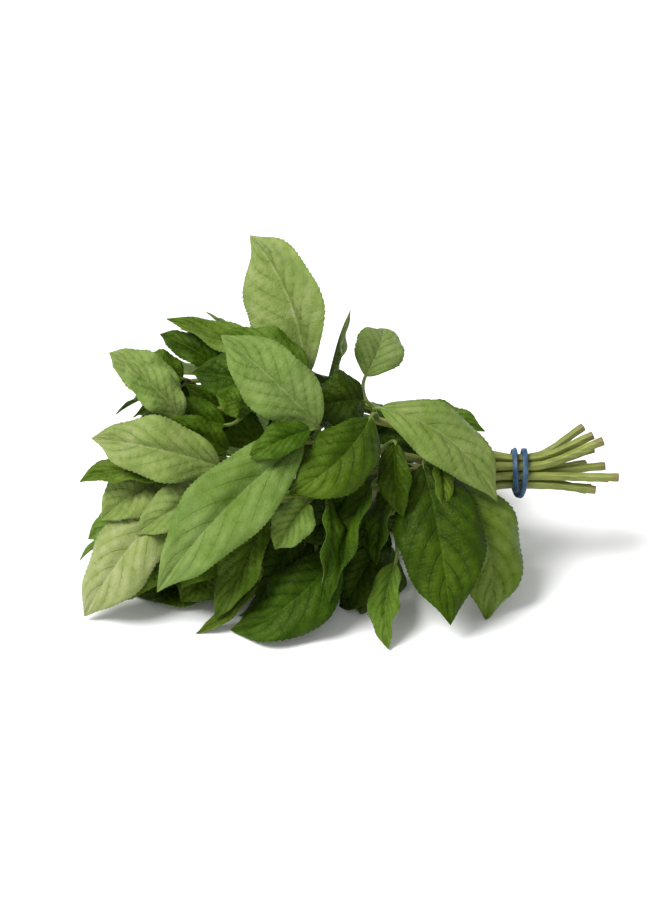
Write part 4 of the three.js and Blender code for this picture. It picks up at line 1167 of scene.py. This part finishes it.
LAID = (
    # the two leaves at the front, over the stems
    lay(0, 1, 0, (-56, 25, 27), (-10, -12, 21), 24, (0.2, 0.3, 1), 0.67,
        fade=0.04, arch=0.12, sway=-0.085, fold=-10, twist=10, size=LARGE),
    lay(0, 1, 1, (-60, 21, 29), (-92, -9, 36), 26, (0.1, 0.25, 1), 0.2,
        fade=0.22, arch=0.13, sway=-0.1, fold=-10, wave=1.8, size=LARGE),
    # the pair in the middle: one up and to the left, one down and to the left
    lay(1, 2, 0, (-80, 17.5, 31), (-118, 53, 32), 27, (0, -0.1, 1), 0.72,
        fade=-0.06, arch=0.12, sway=0.03, fold=12, wave=1.4, size=LARGE),
    lay(1, 2, 1, (-86, 12, 34), (-143, -47, 29), 31, (-0.15, 0.1, 1), 0.6,
        fade=0.08, arch=0.11, sway=0.02, fold=12, wave=1.2, size=LARGE),
    lay(1, 2, 2, (-83, 16, 36), (-107, 4, 38), 14, (0, 0.4, 1), 0.34, arch=0.1, fold=18, size=YOUNG),
    # the tall leaf and its long arching neighbour
    lay(8, 2, 0, (-85, 38, 6), (-108, 94.8, -6), 38.5, (-0.55, -0.2, 1), 0.74,
        fade=0.03, arch=0.03, sway=0.11, fold=25, wave=0.8, size=LARGE),
    lay(8, 2, 1, (-92, 40, 10), (-141, 61, 4), 16, (0.1, 0.7, 0.8), 0.78,
        fade=-0.4, arch=0.04, fold=20, size=LARGE),
    # the two large leaves that hang to the surface beside the band, and the curled one next to them
    lay(2, 0, 0, (-28, -4, 16), (-13.5, -60, 14), 32, (0.3, 0.1, 1), 0.53,
        arch=0.12, sway=-0.1, fold=-10, wave=1.6, curl=0.05, size=LARGE),
    lay(3, 1, 0, (-50, -36, 17), (-53, -70, 27), 14, (-0.5, 0.3, 1), 0.5,
        arch=0.05, sway=0.05, fold=25, twist=40, wave=1.5, size=LARGE),
    lay(2, 0, 1, (-39, 3, 15), (-28, -60, 17), 35, (-0.1, 0.2, 1), 0.15,
        fade=0.1, arch=0.06, sway=-0.03, fold=-8, wave=1.8, size=LARGE),
    # the leaves that hang from the front, below the middle
    lay(3, 2, 0, (-73, -31, 19), (-115, -63, 18), 28, (0.1, 0.3, 1), 0.2,
        fade=0.08, arch=0.1, sway=-0.12, fold=-8, wave=1.8, size=LARGE),
    lay(2, 3, 0, (-100, -15, 27), (-121, -58, 19), 19, (-0.5, 0.2, 1), 0.43,
        fade=-0.1, arch=0.06, sway=-0.05, fold=18, size=LARGE),
    lay(3, 3, 0, (-104, -42, 16), (-129, -64, 20), 8, (-0.3, 0.4, 1), 0.45, arch=0.02, sway=-0.05, fold=20),
    lay(4, 3, 0, (-112, -43, -4), (-154, -51, -1), 28, (0, 0.8, 0.6), 0.25,
        arch=0.02, fold=6, wave=0.8, size=LARGE),
    lay(2, 2, 0, (-84, -12, 33), (-97, -30, 36), 17, (0.1, 0.3, 1), 0.6, arch=0.15, fold=25),
    lay(1, 0, 0, (-33, 5, 19), (-32, -16, 25), 9, (0.3, 0.1, 1), 0.42, arch=0.06, fold=25),
    lay(1, 1, 0, (-50, 11, 24), (-47, -18, 27), 14, (-0.3, 0.1, 1), 0.2, arch=0.06, sway=0.04, fold=22),
    lay(2, 1, 0, (-53, -5, 22), (-58, -37, 26), 16, (-1, 0, 0.8), 0.24, arch=0.08, fold=20),
    lay(2, 1, 1, (-58, -5, 24), (-72, -52, 24), 19, (-0.9, 0.2, 0.8), 0.26, arch=0.06, fold=18),
    lay(2, 2, 1, (-78, -10, 28), (-78, -44, 29), 14, (1, 0, 0.7), 0.3, arch=0.06, fold=20),
    lay(3, 2, 1, (-79, -30, 14), (-77, -64, 17), 16, (0.9, 0, 0.8), 0.2, arch=0.05, fold=15),
    lay(3, 1, 1, (-58, -30, 12), (-74, -57, 13), 20, (0, 0.4, 1), 0.15, arch=0.08, fold=15),
    lay(3, 2, 2, (-88, -26, 13), (-104, -52, 10), 24, (0, 0.2, 1), 0.12, arch=0.05, fold=10),
    lay(3, 1, 2, (-60, -18, 12), (-66, -48, 8), 24, (0, 0.2, 1), 0.1, arch=0.05, fold=10),
    lay(3, 3, 1, (-116, -30, 12), (-134, -52, 8), 22, (0, 0.3, 1), 0.25, arch=0.05, fold=12),
    lay(2, 1, 2, (-60, -8, 21), (-93, -20, 24), 20, (0, -0.1, 1), 0.1, arch=0.06, fold=12),
    lay(9, 1, 0, (-50, 4, 12), (-38, -26, 13), 24, (0, 0.2, 1), 0.12, arch=0.05, fold=10),
    lay(9, 1, 1, (-61, 14, 12), (-34, 17, 14), 22, (0, 0.5, 1), 0.18, arch=0.05, fold=12),
    # the left end, from the surface up
    lay(2, 4, 0, (-138, -12, 23), (-173, -58, 12), 28, (-0.3, 0.2, 1), 0.79,
        fade=0.12, arch=0.1, fold=-8, size=LARGE),
    lay(1, 3, 0, (-118, 2, 32), (-169, 13, 24), 25, (-0.1, 0.1, 1), 0.64,
        fade=0.2, arch=0.1, sway=0.02, fold=16, wave=1.8, size=LARGE),
    lay(1, 4, 0, (-138, -3, 27), (-174, -4, 20), 15, (0, 0.7, 1), 0.42, arch=0.08, sway=0.08, fold=25),
    lay(1, 3, 1, (-118, -5, 30), (-152, -24, 28), 19, (-0.2, 0.2, 1), 0.74, arch=0.1, fold=20, wave=1.8),
    lay(3, 4, 0, (-138, -27, 12), (-160, -52, 8), 20, (-0.3, 0.4, 1), 0.5, arch=0.08, fold=14),
    lay(11, 4, 0, (-146, -15, 8), (-172, -27, 6), 17, (-0.5, 0.3, 1), 0.55, arch=0.1, fold=15),
    lay(11, 4, 1, (-148, -18, 0), (-177, -33, 3), 9, (0, 1, 0.4), 0.5, arch=0.08, fold=30),
    lay(9, 4, 0, (-148, 4, 14), (-170, 2, 14), 9, (0, 1, 0.3), 0.42, arch=0.05, fold=20),
    lay(9, 4, 1, (-141, -2, 15), (-168, -14, 17), 22, (-0.2, 0.3, 1), 0.74, arch=0.1, fold=20),
    # the upper left
    lay(0, 4, 0, (-134, 28, 22), (-163, 47, 13), 18, (0, 0.3, 1), 0.66,
        fade=0.1, arch=0.1, fold=22, wave=1.6),
    lay(0, 4, 1, (-133, 21, 24), (-160, 36, 22), 17, (0, 0.2, 1), 0.66, arch=0.1, fold=22, wave=1.6),
    lay(8, 4, 0, (-134, 37, 4), (-154, 43, 4), 16, (0, 0.3, 1), 0.4, arch=0.1, fold=15),
    lay(8, 3, 0, (-118, 40, 6), (-146, 50, 2), 14, (0, 0.5, 1), 0.24, arch=0.1, fold=20),
    lay(0, 3, 0, (-106, 24, 27), (-120, 30, 30), 13, (0.2, 0.1, 1), 0.38, arch=0.1, fold=20, size=YOUNG),
    lay(0, 3, 1, (-116, 20, 26), (-144, 24, 27), 19, (0, 0.4, 1), 0.32, arch=0.1, fold=20),
    lay(0, 2, 0, (-94, 32, 20), (-130, 40, 18), 24, (0, 0.3, 1), 0.22, arch=0.08, fold=14),
    lay(0, 2, 1, (-84, 39, 17), (-118, 55, 16), 18, (0, 0.5, 1), 0.46, arch=0.08, fold=12),
    lay(10, 2, 0, (-82, 22, 2), (-100, 2, 4), 24, (0, 0.2, 1), 0.12, arch=0.08, fold=12),
    lay(10, 3, 0, (-124, 26, 2), (-150, 34, 6), 20, (0, 0.3, 1), 0.25, arch=0.08, fold=14),
    lay(11, 2, 1, (-86, -15, -13), (-79, -45, -16), 22, (0, 0.2, 1), 0.12, arch=0.1, fold=12),
    # the thin ones and the dark ones behind the top
    lay(8, 1, 0, (-61.5, 38, -3), (-54.5, 58.5, -20), 20.5, (0.2, 0.5, 1), 0.72,
        arch=0.2, sway=0.06, fold=2),
    lay(0, 1, 2, (-62, 28, 17), (-82, 25, 21), 24, (0, 0.2, 1), 0.14, arch=0.15, fold=12),
    lay(7, 2, 0, (-75.5, 36, -14), (-71.5, 65.5, -14), 9, (1, -0.1, 0.2), 0.8,
        arch=0.03, fold=35, curl=-0.16),
    lay(7, 1, 0, (-43, 24, -8), (-13, 16, -5), 13, (0, 0.5, 1), 0.42, arch=0.08, fold=15),
    lay(8, 1, 2, (-66, 27, -9), (-104, 27, -14), 24, (0, 1, 0.5), 0.15, arch=0.1),
    # the back: leaves that hang over the stems to the surface
    lay(7, 0, 0, (-34, 12, -18), (-20, -4, -58), 28, (0.1, 0.9, -0.3), 0.42,
        arch=0.15, fold=12, size=LARGE),
    lay(5, 0, 0, (-34, -8, -20), (-30, -24, -50), 27, (-0.1, 0.5, -1), 0.38, arch=0.1, fold=12, size=LARGE),
    lay(6, 1, 0, (-56, 8, -36), (-44, -4, -74), 30, (0.1, 0.9, -0.4), 0.42, arch=0.12, fold=12, size=LARGE),
    lay(7, 1, 1, (-58, 24, -26), (-84, 14, -62), 30, (-0.2, 0.9, -0.4), 0.4,
        arch=0.12, fold=12, size=LARGE),
)

# Where a leaf has been picked off: stem, joint and side.
BARE = (
    (8, 1, 1), (10, 1, 0), (7, 2, 1), (7, 3, 1), (4, 1, 0), (0, 2, 2), (9, 3, 0), (10, 4, 1),
    (7, 4, 0), (10, 4, 0))


class Habit(NamedTuple):
    """How the leaves at a joint stand: shares of four directions, then their lengths."""

    forward: float
    reach: float
    outward: float
    up: float
    length: float
    stalk: float
    size: Size


# From the joint nearest the cut end to the one at the tip.
HABITS = (
    Habit(-0.1, 0.3, 0.4, -0.8, 46, 14, MIDDLE),
    Habit(0.15, 0.75, 0.45, -0.3, 60, 14, MIDDLE),
    Habit(0.6, 0.65, 0.35, -0.15, 58, 12, MIDDLE),
    Habit(0.8, 0.6, 0.3, -0.1, 48, 10, MIDDLE),
    Habit(0.9, 0.45, 0.15, 0, 27, 5, YOUNG),
)
SHOOT = Habit(0.75, 0.6, 0.1, 0, 30, 6, YOUNG)
PAIR = 2  # a joint's sides before this number are its pair of leaves, and the others its side shoots
SIDES = 4


def carries(stem: Stem, joint: int, side: int) -> bool:
    """Tells whether a joint carries a leaf that isn't listed.

    Args:
        stem: the stem.
        joint: the joint.
        side: the side of the joint.

    Returns:
        Whether a leaf grows there.
    """
    front = stem.seat < 120 or stem.seat > 270
    if joint == 0:
        return not stem.inner and not front and side < PAIR
    if side < PAIR:
        return True
    if stem.inner or joint in (1, 4):
        return False
    return side == PAIR or (joint == 2 and not front)


def ruled_leaf(index: int, joint: int, side: int, count: int) -> Leaf:
    """Makes a leaf that isn't listed.

    Args:
        index: which stem it grows on.
        joint: the joint of that stem.
        side: the side of the joint.
        count: how many spots came before it, which sets what differs from leaf to leaf.

    Returns:
        The leaf.
    """
    stem = STEMS[index]
    habit = HABITS[joint] if side < PAIR else SHOOT
    root = place(stem.joints[joint])
    at = FIRST_JOINT + joint
    ahead = min(at + 0.1, FIRST_JOINT + len(stem.joints) - 1)
    forward = unit(stem.at(ahead) - stem.at(at - 0.1))
    outward = unit(root - place((stem.joints[joint][0], 4, 0)))
    tangent = unit(np.cross(forward, outward))
    # each pair is turned a quarter turn from the last, and a side shoot stands between its joint's pair
    degrees = stem.seat + 90 * joint + 180 * side + (0 if side < PAIR else 90) + 50 * (share(count) - 0.5)
    angle = math.radians(degrees)
    reach = tangent * math.cos(angle) + outward * math.sin(angle)
    lie = unit(forward * habit.forward + reach * habit.reach + outward * habit.outward + UP * habit.up)
    length = habit.length * (0.85 + 0.3 * share(count + 7))
    base = root + lie * habit.stalk
    return Leaf(
        index, joint, side, root, base, base + lie * length,
        width=length * (0.42 + 0.08 * share(count + 3)),
        face=outward + UP * 0.3 - reach * 0.3,
        tone_and_shade=0.22 + 0.3 * share(count + 23),
        arch=0.05 + 0.1 * share(count + 5),
        sway=0.08 * (share(count + 11) - 0.5),
        fold=8 + 26 * share(count + 13),
        twist=30 * (share(count + 17) - 0.5),
        phase=share(count + 19),
        size=habit.size)


def all_leaves() -> list[Leaf]:
    """Lists every leaf that may grow, before it is bent clear of the others.

    Returns:
        The listed leaves, and then the others.
    """
    leaves = list(LAID)
    taken = {*BARE, *(leaf.spot for leaf in LAID)}
    count = 0
    for side in range(SIDES):
        for index, stem in enumerate(STEMS):
            for joint in range(len(stem.joints)):
                count += 1
                if (index, joint, side) not in taken and carries(stem, joint, side):
                    leaves.append(ruled_leaf(index, joint, side, count))
    return leaves


# ---- the sub-assemblies ----


@dataclass
class RubberBand:
    """The band: one closed loop that goes round the stems twice and crosses over itself.

    radius is inside it, spacing is from the middle of the band to the middle of each turn, hop is how far
    it rises to cross over itself, crossing is half the length of that rise in radians, and switch is how
    quickly it goes from one turn to the other. steps, corners and rounding are those of its solid.
    """

    node: str = "rubber_band"
    radius: float = 7.85
    width: float = 2.2
    thickness: float = 1.3
    spacing: float = 2.0
    hop: float = 1.65
    crossing: float = 0.45
    switch: float = 3.0
    steps: int = 40
    corners: int = 8
    rounding: float = 1.05
    fine_steps: int = 320

    def line(self, steps: int) -> tuple[Array, Array]:
        """Gives the middle of the band and the way out of the bundle there.

        Args:
            steps: how many points to give.

        Returns:
            The points and the directions.
        """
        angle = 4 * np.pi * np.arange(steps) / steps
        along = self.spacing * np.tanh(self.switch * np.cos(angle / 2)) / math.tanh(self.switch)
        over = np.exp(-((angle - np.pi) / self.crossing) ** 2)
        radius = self.radius + self.thickness / 2 + self.hop * over
        outward = np.cos(angle)[:, None] * RISE + np.sin(angle)[:, None] * OUT
        middle = place(np.stack([along, 0 * along, 0 * along], axis=1))
        return middle + outward * radius[:, None], outward

    def shift(self) -> Array:
        """Compares the band with its solid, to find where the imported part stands.

        Returns:
            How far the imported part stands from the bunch's own places.
        """
        middle, outward = self.line(self.steps)
        turn = (np.arange(self.corners) + 0.5) * 2 * np.pi / self.corners
        wide = (self.width / 2 * self.rounding * np.cos(turn))[:, None] * np.array((1.0, 0, 0))
        deep = (self.thickness / 2 * self.rounding * np.sin(turn))[:, None]
        corners = middle[:, None] + outward[:, None] * deep + wide
        return np.array(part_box(self.node)[0]) / MM - corners.reshape(-1, 3).min(axis=0)

    def build(self, rubber: Material) -> Object:
        """Builds the band.

        Args:
            rubber: what it is made of.

        Returns:
            The band.
        """
        middle, _ = self.line(self.fine_steps)
        path = Path(middle, np.full(len(middle), self.width / 2)).moved(self.shift())
        piece = sweep("rubber_band_fine", [path], Profile.FLAT_BAND, rubber, closed=True)
        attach(piece, BODY)
        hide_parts(self.node)
        return piece


@dataclass
class LeafyStem:
    """One stem of the bunch with everything that grows on it.

    A candidate leaf is kept if at least match_share of its corners are within match_reach of its solid's.
    """

    index: int
    shift: Array
    leaves: list[Leaf] = field(default_factory=list)
    match_reach: float = 0.03
    match_share: float = 0.3

    @property
    def number(self) -> str:
        """Its number in the names of its pieces."""
        return f"{self.index + 1:02d}"

    @property
    def node(self) -> str:
        """The name of its solid."""
        return f"basil_stem_{self.number}"

    def solid_points(self) -> Array:
        """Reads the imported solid.

        Returns:
            Its corners, in the bunch's own places.
        """
        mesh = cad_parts[self.node].data
        places = np.empty(len(mesh.vertices) * 3)
        mesh.vertices.foreach_get("co", places)
        places = places.reshape(-1, 3) / MM - self.shift
        return np.unique(places.round(3), axis=0)

    def grow(self, candidates: list[Leaf]) -> None:
        """Keeps the leaves that its solid has, each bent as it is there.

        Args:
            candidates: the leaves that may grow on it.
        """
        corners = self.solid_points()
        for leaf in candidates:
            best, found = 0.0, leaf
            for bend in BENDS:
                trial = leaf.bent(bend)
                gaps = np.linalg.norm(trial.coarse()[:, None] - corners[None], axis=2).min(axis=1)
                score = float(np.mean(gaps < self.match_reach))
                if score > best:
                    best, found = score, trial
            if best > self.match_share:
                self.leaves.append(found)

    def cut_end(self, pith: Material) -> Object:
        """Builds the cut end: a shallow dish of pith inside the rind.

        Args:
            pith: what it is made of.

        Returns:
            The cut end.
        """
        path = STEMS[self.index].path()
        centre = path.points[0] + self.shift
        way = unit(path.points[0] - path.points[2])
        side = unit(np.cross(UP, way))
        top = np.cross(way, side)
        # its rings, from the middle out and round the edge: their radii and how far out each lies
        radii = np.array((0.0, 0.3, 0.6, 0.8, 0.93, 0.9))
        lift = np.array((-0.16, -0.12, -0.02, 0.1, 0.0, -0.4))
        lift = lift + CUT_LIFT
        count = CUT_SIDES
        angles = np.arange(count) * 2 * np.pi / count
        powers = np.abs(np.cos(angles)) ** SQUARENESS + np.abs(np.sin(angles)) ** SQUARENESS
        square = 1 / powers ** (1 / SQUARENESS)
        rim = (side * np.cos(angles)[:, None] + top * np.sin(angles)[:, None]) * square[:, None]
        points = [centre + way * lift[0]]
        for radius, height in zip(radii[1:], lift[1:]):
            points.extend(centre + way * height + rim * radius * path.halves[0])
        rings = len(radii) - 1
        faces: list[Face] = [(0, 1 + a, 1 + (a + 1) % count) for a in range(count)]
        faces += ring_faces(1, rings, count, flipped=True)
        last = 1 + (rings - 1) * count
        faces.append(tuple(last + a for a in reversed(range(count))))
        across = np.concatenate([radii[:1], np.repeat(radii[1:], count)])
        uv = np.stack([across, 0 * across], axis=1)
        shell = Shell(np.array(points), faces, uv, uv, np.zeros((len(points), 3)))
        return make_piece(f"cut_end_{self.number}", shell, pith)

    def build(self, leaf: Material, stem: Material, stalk: Material,
              pith: Material) -> list[Object]:
        """Builds the stem, its stalks, its blades and its cut end.

        Args:
            leaf: what the blades are made of.
            stem: what the stem is made of.
            stalk: what the stalks and the midribs are made of.
            pith: what its cut end is made of.

        Returns:
            The pieces.
        """
        line = STEMS[self.index].path().moved(self.shift)
        stalks = [grown.stalk().moved(self.shift) for grown in self.leaves]
        blades = Shell.joined([
            grown.blade(share(17 * self.index + 5 * count)) for count, grown in enumerate(self.leaves)])
        blades.points += self.shift
        pieces = [
            sweep(f"stem_{self.number}", [line], Profile.SQUARE_STEM, stem),
            sweep(f"stalks_{self.number}", stalks, Profile.ROUND_STALK, stalk),
            make_piece(f"blades_{self.number}", blades, leaf),
            self.cut_end(pith)]
        for piece in pieces:
            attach(piece, BODY)
            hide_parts(self.node)
        return pieces


@dataclass
class Studio:
    """The white board, the soft light and the camera.

    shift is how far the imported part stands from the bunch's own places. board, half the board's width, and
    distance, the camera's, are in metres. along and rise are the place that the camera looks at.
    """

    shift: Array
    board: float = 60.0
    key_from: tuple[float, float, float] = (-0.7, -0.25, 1.1)
    key_spread: float = 32
    key_strength: float = 4.0
    sky: str = "#fafbfc"
    sky_strength: float = 0.62
    distance: float = 1.0
    lens: float = 100.0
    sensor: float = 36.0
    along: float = -75.6
    rise: float = 8.4

    def floor(self) -> Object:
        """Builds the board that the bunch lies on.

        Returns:
            The board.
        """
        mesh = bpy.data.meshes.new("floor")
        signs = ((-1, -1), (1, -1), (1, 1), (-1, 1))
        mesh.from_pydata([(x * self.board, y * self.board, 0) for x, y in signs], [], [(0, 1, 2, 3)])
        mesh.materials.append(PaintedFloor().make())
        board = linked("floor", mesh)
        return board

    def light(self) -> None:
        """Adds the key light, soft and the same all over the board, and the white sky round it."""
        key = bpy.data.lights.new("key", "SUN")
        key.angle = math.radians(self.key_spread)
        key.energy = self.key_strength
        holder = linked("key", key)
        holder.location = self.key_from
        holder.rotation_euler = aim(-np.array(self.key_from))
        world = bpy.data.worlds.new("studio")
        world.use_nodes = True
        shade = world.node_tree.nodes["Background"]
        shade.inputs["Color"].default_value = linear(self.sky)
        shade.inputs["Strength"].default_value = self.sky_strength
        bpy.context.scene.world = world
        bpy.context.scene.view_settings.view_transform = "Standard"

    def camera(self) -> None:
        """Places the camera square to the slope of the bunch's front."""
        target = (place((self.along, self.rise, 0)) + self.shift) * MM
        data = bpy.data.cameras.new("camera")
        data.lens = self.lens
        data.sensor_width = self.sensor
        holder = linked("camera", data)
        holder.location = target + OUT * self.distance
        holder.rotation_euler = aim(-OUT)
        bpy.context.scene.camera = holder

    def build(self) -> None:
        """Builds the whole studio."""
        self.floor()
        self.light()
        self.camera()


def aim(way: Array) -> tuple[float, float, float]:
    """Gives the turn of a light or camera that looks along a direction, kept upright."""
    x, y, z = unit(way)
    return math.acos(-z), 0.0, math.atan2(y, x) - math.pi / 2


def main() -> None:
    """Builds the band, the leafy stems and the studio."""
    logging.basicConfig(level=logging.INFO, format="%(name)s: %(message)s")
    band = RubberBand()
    shift = band.shift()
    LOG.info("shift %s", shift.round(3).tolist())
    LOG.info("built %s", band.build(BandRubber().make()).name)
    leaf, stem, pith = BasilLeaf().make(), BasilStem().make(), CutPith().make()
    # the stalks' darker green is painted shade in the furrows of their ribs, as on the stems
    stalk = BasilStem("fresh_basil_stalk", "#6d8138", "#425c12").make()
    candidates = all_leaves()
    grown = 0
    for index in range(len(STEMS)):
        leafy = LeafyStem(index, shift)
        leafy.grow([other for other in candidates if other.stem == index])
        grown += len(leafy.leaves)
        for piece in leafy.build(leaf, stem, stalk, pith):
            LOG.info("built %s, %d faces", piece.name, len(piece.data.polygons))
    LOG.info("%d of %d leaves", grown, len(candidates))
    Studio(shift).build()


if __name__ == "__main__":
    main()
